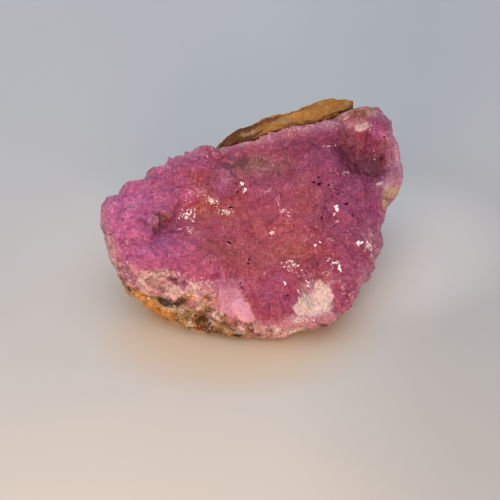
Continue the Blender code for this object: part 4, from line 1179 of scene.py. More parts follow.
def add_piece(name, points, faces, finish, colour, growth=None, sharp=None, node=None):
    """A mesh of world points in millimetres, kept inside the box of the CAD model.

    Its colour and growth distance are attributes. The piece rides on the specimen's one body, takes
    a slot's finish, and may stand for a node.
    """
    low, high = (np.array(corner) / METRES for corner in CAD_BOX)
    points = np.clip(points, low, high)
    corners = [np.asarray(group, np.int32) for group in faces]
    sizes = np.concatenate([np.full(len(group), group.shape[1], np.int32) for group in corners])
    starts = np.concatenate([[0], np.cumsum(sizes)[:-1]]).astype(np.int32)
    flat = np.concatenate([group.ravel() for group in corners])
    mesh = bpy.data.meshes.new(name)
    mesh.vertices.add(len(points))
    mesh.vertices.foreach_set("co", (points * METRES).astype(np.float32).ravel())
    mesh.loops.add(len(flat))
    mesh.loops.foreach_set("vertex_index", flat)
    mesh.polygons.add(len(sizes))
    mesh.polygons.foreach_set("loop_start", starts)
    mesh.polygons.foreach_set("use_smooth", np.ones(len(sizes), bool))
    mesh.update(calc_edges=True)
    mesh.validate()
    opaque = np.ones((len(points), 1))
    write_attribute(mesh, "tint", "FLOAT_COLOR", "color", np.hstack([np.clip(colour, 0, 1), opaque]))
    if growth is not None:
        write_attribute(mesh, "growth", "FLOAT", "value", growth)
    if sharp is not None:
        mesh.set_sharp_from_angle(angle=math.radians(sharp))
    mesh.materials.append(finish)
    piece = bpy.data.objects.new(name, mesh)
    bpy.context.scene.collection.objects.link(piece)
    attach(piece, "root")
    if node:
        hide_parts(node)


@functools.lru_cache
def rhomb_template(steps):
    """A rhomb's surface as weights of its eight corners, its quads, and each point's edge distance.

    Each face is a square patch that blends its four corners evenly. Points that two patches share are
    merged by their weights.
    """
    patches = []
    for k in range(3):
        upper, lower, following, before = 1 + k, 4 + k, 1 + (k + 1) % 3, 4 + (k + 2) % 3
        patches += [(0, upper, lower, following), (7, lower, upper, before)]
    line = np.linspace(0, 1, steps + 1)
    t, s = np.meshgrid(line, line, indexing="ij")
    blends = np.stack([(1 - s) * (1 - t), s * (1 - t), s * t, (1 - s) * t], axis=-1).reshape(-1, 4)
    rim = np.minimum(np.minimum(s, 1 - s), np.minimum(t, 1 - t)).ravel()
    weights = np.zeros((6, len(blends), 8))
    for patch, corners in zip(weights, patches):
        patch[:, corners] = blends
    weights = np.round(weights.reshape(-1, 8), 6)
    unique, first, inverse = np.unique(weights, axis=0, return_index=True, return_inverse=True)
    quads = np.concatenate([grid_quads(steps + 1) + n * len(blends) for n in range(6)])
    return unique, inverse.ravel()[quads], np.tile(rim, 6)[first]


def rhombs(rows, steps):
    """Points in the face's frame, quads, edge distances and crystal numbers of many rhombs."""
    weights, quads, rim = rhomb_template(steps)
    points = np.einsum("pk,nkc->npc", weights, rhomb_corners(rows))
    faces = quads[None] + len(weights) * np.arange(len(rows))[:, None, None]
    edge = rim[None] * rows[:, 3:4] * RHOMB_EDGE
    number = np.repeat(np.arange(len(rows)), len(weights))
    return points.reshape(-1, 3), [faces.reshape(-1, 4)], edge.ravel(), number


class Value:
    """A shader socket used in arithmetic: each sum, product or power adds a Math node."""

    def __init__(self, finish, socket):
        self.finish = finish
        self.socket = socket

    def math(self, operation, *values):
        """A Math node of that operation on the values."""
        return self.finish.node("ShaderNodeMath", {"operation": operation}, dict(enumerate(values)))

    def __add__(self, other):
        return self.math("ADD", self, other)

    __radd__ = __add__

    def __sub__(self, other):
        return self.math("SUBTRACT", self, other)

    def __rsub__(self, other):
        return self.math("SUBTRACT", other, self)

    def __mul__(self, other):
        return self.math("MULTIPLY", self, other)

    __rmul__ = __mul__

    def __truediv__(self, other):
        return self.math("DIVIDE", self, other)

    def __mod__(self, other):
        return self.math("FLOORED_MODULO", self, other)

    def __pow__(self, other):
        return self.math("POWER", self, other)

    def __abs__(self):
        return self.math("ABSOLUTE", self)


class Finish:
    """A material with the nodes that are added to its Principled shader."""

    def __init__(self, name, **constants):
        self.material = bpy.data.materials.new(name)
        self.material.use_nodes = True
        self.tree = self.material.node_tree
        self.shader = self.tree.nodes["Principled BSDF"]
        self.feed(self.shader, constants)

    def feed(self, node, inputs):
        """Sets each input, by its name or place, to a number, a colour or the link of a Value."""
        for key, given in inputs.items():
            socket = node.inputs[key.replace("_", " ") if isinstance(key, str) else key]
            if isinstance(given, Value):
                self.tree.links.new(given.socket, socket)
            elif hasattr(given, "__len__") and len(given) == 3 and socket.type == "RGBA":
                socket.default_value = (*given, 1.0)
            else:
                socket.default_value = given

    def node(self, kind, settings=None, inputs=None, output=0):
        """Adds a node: its settings first, then its inputs. Returns one of its outputs."""
        made = self.tree.nodes.new(kind)
        for key, given in (settings or {}).items():
            setattr(made, key, given)
        self.feed(made, inputs or {})
        return Value(self, made.outputs[output])

    def vector(self, operation, *values):
        """A Vector Math node of that operation on the values."""
        return self.node("ShaderNodeVectorMath", {"operation": operation}, dict(enumerate(values)))

    def place(self):
        """Where a point is on the object, in millimetres."""
        spot = self.node("ShaderNodeTexCoord", output="Object")
        return self.vector("MULTIPLY", spot, (1 / METRES,) * 3)

    def attribute(self, name, output):
        """An attribute of the mesh."""
        return self.node("ShaderNodeAttribute", {"attribute_name": name}, output=output)

    def noise(self, place, size, detail=2.0, roughness=0.5):
        """Cloudy noise from 0 to 1, whose clouds are about that many millimetres across."""
        inputs = {"Vector": place, "Scale": 1 / size, "Detail": detail, "Roughness": roughness}
        return self.node("ShaderNodeTexNoise", inputs=inputs)

    def bend(self, place, stretch, scale, reach):
        """A place squeezed along each axis, then moved by noise of that scale as far as the reach."""
        inputs = {"Vector": place, "Scale": scale, "Detail": 3.0}
        wander = self.node("ShaderNodeTexNoise", inputs=inputs, output=1)
        return self.vector("MULTIPLY_ADD", wander, (reach,) * 3, self.vector("MULTIPLY", place, stretch))

    def grain(self, place, size):
        """A number from 0 to 1 for each cell of a mosaic of about that size, with ragged borders."""
        bent = self.bend(place, (1.0, 1.0, 1.0), 1.3 / size, 0.8 * size)
        cells = self.node("ShaderNodeTexVoronoi", inputs={"Vector": bent, "Scale": 1 / size}, output=1)
        return self.node("ShaderNodeSeparateColor", inputs={0: cells})

    def crease(self, place, size, width):
        """1 along the borders of a mosaic's cells, falling to 0 within that share of the cells' size."""
        border = self.node(
            "ShaderNodeTexVoronoi", {"feature": "DISTANCE_TO_EDGE"}, {"Vector": place, "Scale": 1 / size}
        )
        return self.step(width, 0.0, border)

    def step(self, low, high, value):
        """0 up to low and 1 past high, with an even S between them, as smooth makes it."""
        inputs = {"Value": value, "From Min": low, "From Max": high}
        return self.node("ShaderNodeMapRange", {"interpolation_type": "SMOOTHSTEP"}, inputs)

    def mix(self, first, second, share, how="MIX"):
        """The first colour, moved toward the second by a share, or mixed with it another way."""
        settings = {"data_type": "RGBA", "blend_type": how}
        return self.node("ShaderNodeMix", settings, {0: share, 6: first, 7: second}, 2)

    def grey(self, value):
        """A number as a colour."""
        return self.node("ShaderNodeCombineColor", inputs={0: value, 1: value, 2: value})

    def times(self, colour, factor):
        """The colour, lighter or darker by a factor."""
        return self.mix(colour, self.grey(factor), 1.0, "MULTIPLY")

    def power(self, colour, exponent):
        """The colour, each part of it raised to a power."""
        return self.node("ShaderNodeGamma", inputs={"Color": colour, "Gamma": exponent})

    def shade(self, colour, light):
        """The colour, lighter or darker by that part of the way from black to white as the eye sees."""
        lit = self.vector("ADD", self.power(colour, 1 / EYE_GAMMA), self.grey(light))
        return self.power(self.vector("MAXIMUM", lit, (DARKEST,) * 3), EYE_GAMMA)

    def bump(self, height):
        """The surface's normal, leaned by a height in millimetres."""
        inputs = {"Height": height, "Distance": METRES, "Strength": 1.0}
        return self.node("ShaderNodeBump", inputs=inputs, output="Normal")

    def done(self, **inputs):
        """Feeds the shader and returns the material."""
        self.feed(self.shader, inputs)
        return self.material


def calcite_finish(name, settings, lines=1.0, contrast=1.0):
    """Waxy calcite: the mesh's colour, clouded, with paler growth lines and paler crystal edges. The
    paler edges are partly thin crystal and partly a painted edge highlight.

    Fine creases run along the borders of two mosaics. A growth line is a narrow peak of the distance to
    scattered centres, in a space that is squeezed along the lines and bent by noise. Where the growth
    distance says broken edge, flakes have tones of their own between dark cracks.
    """
    finish = Finish(
        name, Subsurface_Weight=0.08, Subsurface_Radius=(1.0, 0.4, 0.6), Subsurface_Scale=0.0004,
        IOR=1.5, Specular_IOR_Level=0.4, Coat_Roughness=0.2,
    )
    place = finish.place()
    growth = finish.attribute("growth", "Fac")
    cloud = finish.noise(place, 2.8, 4)
    middle = finish.noise(place, 0.9, 3, 0.6)
    steep = finish.step(0.42, 0.60, finish.noise(place, 1.4, 2))
    level = 1.0 - steep
    strands = finish.noise(finish.bend(place, (1.0, 0.25, 0.3), 0.4, 1.2), 0.3, 2, 0.7)
    seams = finish.noise(finish.bend(place, (0.22, 1.0, 1.0), 0.4, 1.2), 0.3, 2, 0.7)
    fine = strands * steep + seams * level
    long = finish.bend(place, LINE_STRETCH, 0.12, 7.0)
    flow = finish.node("ShaderNodeTexVoronoi", inputs={"Vector": long, "Scale": 1 / LINE_CELL})
    spacing = settings.line_spacing / METRES
    wave = abs((flow * (LINE_CELL / spacing)) % 1.0 * 2.0 - 1.0)
    patches = finish.step(0.44, 0.60, finish.noise(place, 3.0, 3))
    line = finish.step(0.70, 1.0, wave) * patches * finish.step(0.35, 0.55, middle) * lines
    upright = finish.crease(finish.bend(place, (1.0, 0.32, 0.4), 0.5, 1.6), 1.1, 0.08)
    lying = finish.crease(finish.bend(place, (0.3, 1.0, 1.0), 0.5, 1.6), 0.9, 0.08)
    crease = (upright * steep + lying * level) * finish.step(0.42, 0.62, cloud) * lines
    torn = finish.step(0.6 * BROKEN, 0.9 * BROKEN, growth)
    grain = finish.grain(place, 1.5)
    flake = finish.grain(place, 1.7)
    chip = finish.grain(place, 0.7)
    crack = finish.crease(finish.bend(place, (1.0, 1.0, 1.6), 0.5, 1.2), 1.6, 0.10) * steep
    light = contrast * (0.11 * (cloud - 0.5) + 0.17 * (middle - 0.5) + 0.62 * (fine - 0.5))
    light = light + 0.05 * (grain - 0.5) + 0.08 * line + 0.14 * (1.0 - torn) * crease
    colour = finish.shade(finish.attribute("tint", "Color"), light)
    colour = finish.times(colour, 1.0 + torn * (0.55 * flake + 0.25 * chip - 0.42))
    colour = finish.mix(colour, settings.cream, 0.2 * torn * finish.step(0.80, 0.84, flake))
    colour = finish.times(colour, 1.0 - 0.45 * torn * crack)
    # Paler along the crystal edges, where growth is near 0: partly thin crystal, partly a painted edge
    # highlight.
    colour = finish.mix(colour, settings.pale, 0.3 * finish.step(0.3, 0.0, growth))
    relief = 0.04 * line + 0.06 * crease + 0.10 * middle + 0.05 * fine + 0.06 * grain
    relief = relief - 0.15 * torn * crack
    return finish.done(
        Base_Color=colour, Roughness=0.30 + 0.35 * middle, Coat_Weight=0.1 * cloud,
        Normal=finish.bump(relief),
    )


def rock_finish(name, settings):
    """Weathered rock: the mesh's colour in flakes with dark cracks, speckled, rough and dry."""
    finish = Finish(name, IOR=1.45, Specular_IOR_Level=0.3)
    place = finish.place()
    cloud = finish.noise(place, 2.2, 5, 0.6)
    fine = finish.noise(place, 0.4, 3, 0.7)
    flake = finish.grain(place, 0.8)
    torn = finish.attribute("growth", "Fac")
    crack = finish.crease(finish.bend(place, (1.0, 1.0, 1.6), 0.5, 1.4), 2.2, 0.07)
    crack = crack * finish.step(0.45, 0.6, cloud) * torn
    speck = finish.step(0.66, 0.74, finish.noise(place, 0.5, 2))
    light = 0.22 * (cloud - 0.5) + 0.40 * (fine - 0.5) + (0.03 + 0.09 * torn) * (flake - 0.5)
    colour = finish.times(finish.shade(finish.attribute("tint", "Color"), light), 1.0 - 0.55 * crack)
    colour = finish.mix(colour, settings.grain, 0.35 * speck)
    relief = 0.35 * fine + 0.3 * cloud + 0.15 * flake - 0.15 * crack
    return finish.done(Base_Color=colour, Roughness=0.7 + 0.25 * fine, Normal=finish.bump(relief))


def grain_finish(name, roughness, shine, glint=0.0):
    """Small bright or dark grains: the mesh's colour, slightly uneven, and a painted glow of its own,
    none by default, that stands in for a highlight.
    """
    finish = Finish(
        name, IOR=1.5, Specular_IOR_Level=shine, Emission_Color=(1.0, 0.93, 0.9), Emission_Strength=glint
    )
    fine = finish.noise(finish.place(), 0.3, 2)
    colour = finish.times(finish.attribute("tint", "Color"), 0.8 + 0.4 * fine)
    return finish.done(Base_Color=colour, Roughness=roughness + 0.2 * fine)


def floor_finish(name, settings):
    """Matt paper with a faint cloudiness, and painted light: cooler and darker toward the back, a warm
    glow just before the specimen, painted shade toward the right, and lighter round the specimen.
    """
    finish = Finish(name, Specular_IOR_Level=0.2)
    place = finish.place()
    across = finish.node("ShaderNodeSeparateXYZ", inputs={0: place})
    back = finish.node("ShaderNodeSeparateXYZ", inputs={0: place}, output=1)
    cloud = finish.noise(place, 60.0, 3)

    def patch(middle_across, middle_back, wide, deep, full):
        """1 inside an oval of the floor and 0 outside it. It fades from where the square is full."""
        oval = ((across - middle_across) / wide) ** 2.0 + ((back - middle_back) / deep) ** 2.0
        return finish.step(1.0, full, oval)

    # Cooler and darker toward the back: painted fall-off of the light.
    colour = finish.mix(settings.near_floor, settings.far_floor, finish.step(-55.0, 75.0, back))
    # A painted warm glow on the floor just in front of the specimen.
    colour = finish.mix(colour, settings.painted_warm_glow, patch(-4.0, -24.0, 36.0, 20.0, 0.0))
    # Painted shade: darker toward the right, most at the front.
    right = finish.step(0.0, 50.0, across) * (0.06 + 0.09 * finish.step(60.0, -10.0, back))
    colour = finish.times(colour, 1.0 - right)
    # Painted light: lighter to the right of the specimen.
    colour = finish.times(colour, 1.0 + 0.30 * patch(22.0, 9.0, 46.0, 32.0, 0.15))
    # Painted light: a little lighter round the specimen.
    colour = finish.times(colour, 1.0 + 0.10 * patch(-4.0, 2.0, 60.0, 44.0, 0.2))
    colour = finish.times(colour, 0.97 + 0.06 * cloud)
    return finish.done(Base_Color=colour, Roughness=0.8 + 0.1 * cloud)


def palette_of(scene):
    """The colours of the crust and the rock by name."""
    return {
        name: tuple(getattr(settings, name))
        for settings in (scene.calcite, scene.calcite_rock)
        for name, kind in settings.__annotations__.items()
        if kind.function is bpy.props.FloatVectorProperty
    }


def scatter(random, surface, table, palette, other):
    """Rhombs strewn over a surface's points by a table of patches, and each rhomb's colour.

    The chance of a point is the bell curve of its place on the front slope.
    """
    across, up = slope_place(from_face(surface))
    rows, colours = [], []
    for name, across0, up0, radius_across, radius_up, count, smallest, largest in table:
        near = bell(across, up, across0, up0, radius_across, radius_up)
        chosen = random.choice(len(surface), count, p=near / near.sum())
        size = smallest + (largest - smallest) * random.uniform(0, 1, count) ** 2
        flatness, tilt = random.uniform(0.5, 1.1, count), random.uniform(0, 70, count)
        turn, spin = random.uniform(0, 360, (2, count))
        rows.append(np.stack([*surface[chosen].T, size, flatness, tilt, turn, spin], axis=1))
        share = random.uniform(0, 0.6, count)
        colours.append(blend(evenly(palette[name], chosen), palette[other], share))
    return np.concatenate(rows), np.concatenate(colours)


def soften_line(values, passes):
    """Each point of a line moves toward the average of its neighbours; the ends stay."""
    for _ in range(passes):
        values[1:-1] = 0.25 * values[:-2] + 0.5 * values[1:-1] + 0.25 * values[2:]
    return values


def chip_surface(path, thickness):
    """A flat tongue along a curved line: its half width swells and then closes in a round end.

    Each cross-section is an ellipse flattened on top by a power of its sine. Returns the points and
    the distance across the tongue.
    """
    s = np.linspace(0, 1, CHIP_LENGTHWISE)
    knots = np.array(path, float)
    spine = np.stack([np.interp(s, knots[:, 0], column) for column in knots[:, 1:4].T], axis=1)
    width = np.interp(s, knots[:, 0], knots[:, 4])
    spine, width = soften_line(spine, 6), soften_line(width[:, None], 3)[:, 0]
    width[0] = width[-1] = CHIP_END
    ahead = np.gradient(spine, axis=0)
    ahead /= np.linalg.norm(ahead, axis=1, keepdims=True)
    side = np.cross(ahead, CHIP_UP)
    side /= np.linalg.norm(side, axis=1, keepdims=True)
    top = np.cross(side, ahead)
    turn = np.arange(CHIP_ROUND) * 2 * math.pi / CHIP_ROUND
    flat_top = np.sign(np.sin(turn)) * abs(np.sin(turn)) ** 0.6
    across = width[:, None] * np.cos(turn)
    thick = thickness * np.minimum(1, width / 1.2)[:, None] * flat_top
    ring = spine[:, None] + across[..., None] * side[:, None] + thick[..., None] * top[:, None]
    ring += 0.10 * lattice_noise(ring, 1.6, 152)[..., None] * top[:, None]
    ring += 0.05 * facet_noise(ring, 0.8, 153)[0][..., None] * top[:, None]
    return ring_points(ring), np.concatenate([[0], (across[1:-1] + 3.0).ravel(), [0]])


def arcs_of_dots(random, u0, v0, radius_u, radius_v, count):
    """Dots along short arcs of random radius, start and sweep, inside an ellipse of the face."""
    arcs = max(3, count // 3)
    middle_u = u0 + radius_u * random.normal(0, 0.5, (arcs, 1))
    middle_v = v0 + radius_v * random.normal(0, 0.5, (arcs, 1))
    radius = random.uniform(0.2, 0.8, (arcs, 1))
    start = random.uniform(0, 2 * math.pi, (arcs, 1))
    sweep = random.uniform(1.0, 4.5, (arcs, 1))
    shape = (arcs, ARC_DOTS)
    turn = start + sweep * np.linspace(0, 1, ARC_DOTS) + random.normal(0, 0.1, shape)
    reach = radius + random.normal(0, 0.06, shape)
    kept = random.uniform(0, 1, shape) < DOTS_KEPT
    u = middle_u + reach * np.cos(turn) * min(1, radius_u)
    v = middle_v + reach * np.sin(turn) * min(1, radius_v)
    kept &= np.hypot(u, v) < around(CRUST_EDGE, bearing(u, v))[0] - 0.6
    return u[kept], v[kept]


class SCENE_OT_calcite_crust(bpy.types.Operator):
    """Adds the crystal crust with its face, broken edge and underside"""

    bl_idname = "calcite.crust"
    bl_label = "Crystal crust"

    def execute(self, context):
        settings = context.scene.calcite
        points, growth, colour, faces = crust_mesh(settings.relief, palette_of(context.scene))
        finish = calcite_finish("crust_calcite", settings)
        add_piece(
            "crystal_crust", from_face(points), faces, finish, colour, growth,
            node="calcite_crust",
        )
        return {"FINISHED"}


class SCENE_OT_calcite_rim_crystals(bpy.types.Operator):
    """Adds the crisp crystals that reach past the crust's lower right edge, and the plain face"""

    bl_idname = "calcite.rim_crystals"
    bl_label = "Rim crystals"

    def execute(self, context):
        settings = context.scene.calcite
        rows = np.array(LARGE_CRYSTALS, float)
        u, v = rows[:, :2].T
        angle = bearing(u, v)
        past = np.hypot(u, v) + RIM_REACH * rows[:, 3] > around(CRUST_EDGE, angle)[0]
        plain = np.hypot(u - KITE[0], v - KITE[1]) < 1
        rows[plain, 2] += KITE_RISE
        rows = rows[plain | past & (angle > RIM_START)]
        points, faces, growth, number = rhombs(rows, 6)
        uneven = 0.12 * facet_noise(points, 1.3, 101)[0][:, None]
        out = points - rows[number, :3]
        out /= np.linalg.norm(out, axis=1, keepdims=True)
        points = points + out * uneven
        points[:, 2] = np.maximum(points[:, 2], ROOT_CLEARANCE - CRUST_THICKNESS)
        u, v = points[:, :2].T
        share = np.hypot(u, v) / around(CRUST_EDGE, bearing(u, v))[0]
        tone = np.random.default_rng(102).uniform(0, 1, len(rows))[number]
        colour = face_colours(points, share, tone, palette_of(context.scene))
        points = from_face(points)
        finish = calcite_finish("rim_calcite", settings)
        add_piece("rim_crystals", points, faces, finish, colour, growth, sharp=25)
        return {"FINISHED"}


class SCENE_OT_calcite_crumbs(bpy.types.Operator):
    """Adds the crumbs of broken and overgrown crystal on the face and along its edges"""

    bl_idname = "calcite.crumbs"
    bl_label = "Crystal crumbs"

    def execute(self, context):
        settings = context.scene.calcite
        palette = palette_of(context.scene)
        surface = crust_mesh(settings.relief, palette)[0]
        angle = bearing(surface[:, 0], surface[:, 1])
        on_face = np.arange(len(surface)) < FACE_COUNT**2
        seen = (on_face | ((angle > 180) & (angle < 330))) & (surface[:, 2] > -7.0)
        rows, colours = scatter(np.random.default_rng(141), surface[seen], CRUMBS, palette, "pale")
        rows[:, :2] *= 1 - 0.5 * rows[:, 3:4] / np.hypot(rows[:, 0], rows[:, 1])[:, None]
        rows[:, 2] -= 0.1 * rows[:, 3]
        points, faces, growth, number = rhombs(rows, 2)
        points = from_face(points + 0.06 * lattice_noise(points, 0.5, 142)[:, None])
        colour = colours[number]
        growth += EDGELESS
        finish = calcite_finish("crumb_calcite", settings, 0.3, 0.7)
        add_piece("crystal_crumbs", points, faces, finish, colour, growth, sharp=25)
        return {"FINISHED"}


class SCENE_OT_calcite_fibres(bpy.types.Operator):
    """Adds the blades of the white fibrous patch"""

    bl_idname = "calcite.fibres"
    bl_label = "White blades"

    def execute(self, context):
        settings = context.scene.calcite
        random = np.random.default_rng(161)
        face = crust_surface(settings.relief)[0]
        rows = []
        for u0, v0, radius_u, radius_v, count, shortest, longest in FIBRES:
            u = u0 + radius_u * random.normal(0, 0.5, count)
            v = v0 + radius_v * random.normal(0, 0.5, count)
            radius = random.uniform(0.12, 0.32, count)
            flatness = random.uniform(shortest, longest, count) / 2 / radius
            away = np.degrees(np.arctan2(v - FIBRE_ROOT[1], u - FIBRE_ROOT[0]))
            turn = away + random.normal(0, 16, count)
            tilt = random.uniform(72, 88, count)
            spin = random.uniform(0, 360, count)
            spot = face[nearest_on_grid(u, v)]
            rows.append(np.stack([*spot.T, radius, flatness, tilt, turn, spin], axis=1))
        rows = np.concatenate(rows)
        points, faces, growth, number = rhombs(rows, 2)
        light = random.uniform(0.0, 1.0, len(rows))[number]
        colour = blend(evenly(settings.pale, points), BLADE_WHITE, 0.4 + 0.6 * light**0.5)
        points = from_face(points)
        growth += EDGELESS
        finish = calcite_finish("fibre_calcite", settings, 0.0, 0.6)
        add_piece("white_blades", points, faces, finish, colour, growth, sharp=25)
        return {"FINISHED"}


class SCENE_OT_calcite_chip(bpy.types.Operator):
    """Adds the pale chip at the front, a smooth tongue of cleaved crystal, and the plate behind it"""

    bl_idname = "calcite.chip"
    bl_label = "Pale chip"

    def execute(self, context):
        settings = context.scene.calcite
        magenta = tuple(settings.magenta)
        chip, chip_growth = chip_surface(CHIP_PATH, CHIP_THICKNESS)
        plate, plate_growth = chip_surface(PLATE_PATH, PLATE_THICKNESS)
        points = np.concatenate([chip, plate])
        on_plate = (np.arange(len(points)) >= len(chip)).astype(float)
        tone = lattice_noise(points * [1.0, 0.4, 1.0], 0.7, 151) * 0.5 + 0.5
        colour = blend(evenly(CHIP_PINK, points), PLATE_MAUVE, on_plate)
        colour = blend(colour, magenta, (0.15 + 0.10 * on_plate) * tone)
        colour = blend(colour, magenta, 0.55 * on_plate * smooth(-14.6, -13.4, points[:, 1]))
        faces = ring_faces(CHIP_LENGTHWISE, CHIP_ROUND)
        faces += [group + len(chip) for group in faces]
        growth = np.concatenate([chip_growth, plate_growth])
        finish = calcite_finish("chip_calcite", settings, 0.5, 0.7)
        add_piece("pale_chip", from_face(points), faces, finish, colour, growth)
        return {"FINISHED"}


class SCENE_OT_calcite_sparkles(bpy.types.Operator):
    """Adds the clusters of bright little crystals, whose near-white colour and glow are painted glints
    """

    bl_idname = "calcite.sparkles"
    bl_label = "Bright little crystals"

    def execute(self, context):
        settings = context.scene.calcite
        random = np.random.default_rng(111)
        face = crust_surface(settings.relief)[0]
        rows = []
        for u0, v0, radius_u, radius_v, count, largest in PAINTED_GLINT_CLUSTERS:
            u, v = arcs_of_dots(random, u0, v0, radius_u, radius_v, count)
            size = settings.sparkle_size * 0.8 * largest * random.uniform(0.4, 1.0, len(u)) ** 1.8
            turn, spin = random.uniform(0, 360, (2, len(u)))
            flatness = random.uniform(0.8, 1.1, len(u))
            tilt = random.uniform(0, 60, len(u))
            w = face[nearest_on_grid(u, v), 2] + 0.35 * size
            rows.append(np.stack([u, v, w, size, flatness, tilt, turn, spin], axis=1))
        rows = np.concatenate(rows)
        points, faces, _, number = rhombs(rows, 1)
        light = random.uniform(0.0, 1.0, len(rows))[number]
        # Pink to near white, with a glow in the finish: painted glints.
        colour = blend(evenly(GLINT_PAINT_PINK, points), GLINT_PAINT_WHITE, light)
        finish = grain_finish("bright_calcite", 0.08, 0.6, 0.4)
        add_piece("bright_crystals", from_face(points), faces, finish, colour, sharp=20)
        return {"FINISHED"}


class SCENE_OT_calcite_specks(bpy.types.Operator):
    """Adds the black mineral specks"""

    bl_idname = "calcite.specks"
    bl_label = "Black specks"

    def execute(self, context):
        settings = context.scene.calcite
        face = crust_surface(settings.relief)[0]
        random = np.random.default_rng(121)
        line = np.linspace(-1, 1, SPECK_RINGS)[:, None]
        ring = np.arange(SPECK_ROUND) * 2 * math.pi / SPECK_ROUND
        body = np.sqrt(np.clip(1 - line**2, 0, 1))
        specks = []
        for u0, v0, length, direction in SPECKS:
            width = 0.5 * length * random.uniform(0.3, 0.5)
            x = line * length / 2 + 0 * ring
            y = width * body * np.cos(ring)
            z = SPECK_THICKNESS * body * np.sin(ring)
            shape = ring_points(np.stack([x, y, z], axis=-1))
            x, y, z = (shape * random.uniform(0.85, 1.15, (len(shape), 1))).T
            a = math.radians(direction)
            turned = [x * math.cos(a) - y * math.sin(a), x * math.sin(a) + y * math.cos(a), z]
            spot = face[nearest_on_grid(np.array([u0]), np.array([v0]))[0]]
            specks.append(np.stack(turned, axis=1) + spot + [0, 0, SPECK_LIFT])
        points = np.concatenate(specks)
        starts = len(shape) * np.arange(len(specks))[:, None, None]
        faces = ring_faces(SPECK_RINGS, SPECK_ROUND)
        faces = [(group + starts).reshape(-1, group.shape[1]) for group in faces]
        colour = evenly(settings.speck, points)
        finish = grain_finish("black_speck", 0.7, 0.1)
        add_piece("black_specks", from_face(points), faces, finish, colour)
        return {"FINISHED"}


class SCENE_OT_calcite_rock(bpy.types.Operator):
    """Adds the host rock with its ledge, broken wall and flat foot"""

    bl_idname = "calcite.rock"
    bl_label = "Host rock"

    def execute(self, context):
        settings = context.scene.calcite_rock
        rings = rock_surface(settings.roughness)
        points = ring_points(rings)
        colour = rock_colours(points, palette_of(context.scene))
        u, v, w = to_face(points).T
        torn = 1 - on_the_ledge(bearing(u, v), w)
        faces = ring_faces(len(rings), ROCK_STEPS)
        finish = rock_finish("weathered_rock_finish", settings)
        add_piece(
            "host_rock_body", points, faces, finish, colour, torn, node="host_rock"
        )
        return {"FINISHED"}


class SCENE_OT_calcite_rock_grains(bpy.types.Operator):
    """Adds the grains on the broken front of the rock"""

    bl_idname = "calcite.rock_grains"
    bl_label = "Rock grains"

    def execute(self, context):
        settings = context.scene.calcite_rock
        wall = rock_surface(settings.roughness)[GRAIN_RINGS].reshape(-1, 3)
        surface = to_face(wall)
        surface = surface[(surface[:, 1] < 2) & (wall[:, 2] > 0.6)]
        palette = palette_of(context.scene)
        rows, colours = scatter(np.random.default_rng(171), surface, ROCK_GRAINS, palette, "tan")
        points, faces, _, number = rhombs(rows, 2)
        points = from_face(points + 0.06 * lattice_noise(points, 0.4, 172)[:, None])
        colour = colours[number]
        torn = np.ones(len(points))
        finish = rock_finish("grain_finish", settings)
        add_piece("rock_grains", points, faces, finish, colour, torn, sharp=25)
        return {"FINISHED"}


def area_light(name, place, size, power, colour):
    """A square soft light at a place in metres, turned to the middle of the specimen."""
    light = bpy.data.lights.new(name, "AREA")
    light.energy = power
    light.size = size
    light.color = colour
    lamp = bpy.data.objects.new(name, light)
    lamp.location = place
    lamp.visible_camera = False
    lamp.rotation_euler = (Vector(LIT_SPOT) - Vector(place)).to_track_quat("-Z", "Y").to_euler()
    bpy.context.scene.collection.objects.link(lamp)


def add_camera(scene, settings):
    """The camera looks along +Y and down, and sees VIEW_WIDTH across at the face."""
    camera = bpy.data.cameras.new("camera")
    camera.sensor_width = SENSOR_WIDTH
    camera.lens = SENSOR_WIDTH * settings.distance / VIEW_WIDTH
    camera.clip_end = 20
    viewer = bpy.data.objects.new("camera", camera)
    rise = settings.elevation
    toward = Vector((0, math.cos(rise), -math.sin(rise)))
    up = Vector((0, math.sin(rise), math.cos(rise)))
    target = Vector(FACE_CENTRE * METRES) + Vector((-AIM_LEFT, 0, 0)) - AIM_BELOW * up
    viewer.location = target - toward * settings.distance
    viewer.rotation_euler = toward.to_track_quat("-Z", "Y").to_euler()
    scene.collection.objects.link(viewer)
    scene.camera = viewer


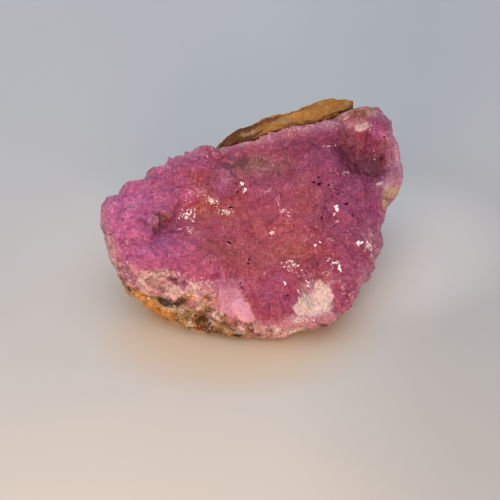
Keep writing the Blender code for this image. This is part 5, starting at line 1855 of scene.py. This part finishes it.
class SCENE_OT_calcite_stage(bpy.types.Operator):
    """Adds the pale floor, the soft lights and the camera"""

    bl_idname = "calcite.stage"
    bl_label = "Floor, lights and camera"

    def execute(self, context):
        settings = context.scene.calcite_stage
        half = FLOOR_HALF
        floor = bpy.data.meshes.new("floor")
        corners = [(-half, -half, 0), (half, -half, 0), (half, half, 0), (-half, half, 0)]
        floor.from_pydata(corners, [], [(0, 1, 2, 3)])
        floor.materials.append(floor_finish("pale_paper", settings))
        ground = bpy.data.objects.new("floor", floor)
        context.scene.collection.objects.link(ground)
        area_light("cool_light", (-0.08, 0.08, 0.85), 1.3, settings.sky_power, (0.89, 0.96, 1.0))
        area_light("warm_light", (-0.04, -0.20, 0.075), 0.09, settings.lamp_power, (1.0, 0.53, 0.17))
        world = bpy.data.worlds.new("soft_room")
        world.use_nodes = True
        background = world.node_tree.nodes["Background"]
        background.inputs["Color"].default_value = ROOM_COLOUR
        background.inputs["Strength"].default_value = ROOM_STRENGTH
        context.scene.world = world
        context.scene.view_settings.view_transform = "Standard"
        add_camera(context.scene, settings)
        return {"FINISHED"}


class VIEW3D_PT_calcite(bpy.types.Panel):
    """Lists the pieces of the specimen in the sidebar"""

    bl_label = "Cobaltoan calcite"
    bl_space_type = "VIEW_3D"
    bl_region_type = "UI"
    bl_category = "Calcite"

    def draw(self, context):
        for settings in (context.scene.calcite, context.scene.calcite_rock, context.scene.calcite_stage):
            for name in settings.__annotations__:
                self.layout.prop(settings, name)
        for operator in OPERATORS:
            self.layout.operator(operator.bl_idname)


OPERATORS = (
    SCENE_OT_calcite_crust,
    SCENE_OT_calcite_rim_crystals,
    SCENE_OT_calcite_crumbs,
    SCENE_OT_calcite_fibres,
    SCENE_OT_calcite_chip,
    SCENE_OT_calcite_sparkles,
    SCENE_OT_calcite_specks,
    SCENE_OT_calcite_rock,
    SCENE_OT_calcite_rock_grains,
    SCENE_OT_calcite_stage,
)
CLASSES = (CalciteSettings, RockSettings, StageSettings, *OPERATORS, VIEW3D_PT_calcite)


def register():
    """Registers the classes and gives the scene its settings."""
    for each in CLASSES:
        bpy.utils.register_class(each)
    bpy.types.Scene.calcite = bpy.props.PointerProperty(type=CalciteSettings)
    bpy.types.Scene.calcite_rock = bpy.props.PointerProperty(type=RockSettings)
    bpy.types.Scene.calcite_stage = bpy.props.PointerProperty(type=StageSettings)


def unregister():
    """Takes back what register added."""
    del bpy.types.Scene.calcite_stage
    del bpy.types.Scene.calcite_rock
    del bpy.types.Scene.calcite
    for each in reversed(CLASSES):
        bpy.utils.unregister_class(each)


def main():
    """Makes every piece and the stage."""
    register()
    for operator in OPERATORS:
        getattr(bpy.ops.calcite, operator.bl_idname.split(".")[1])()


if __name__ == "__main__":
    main()
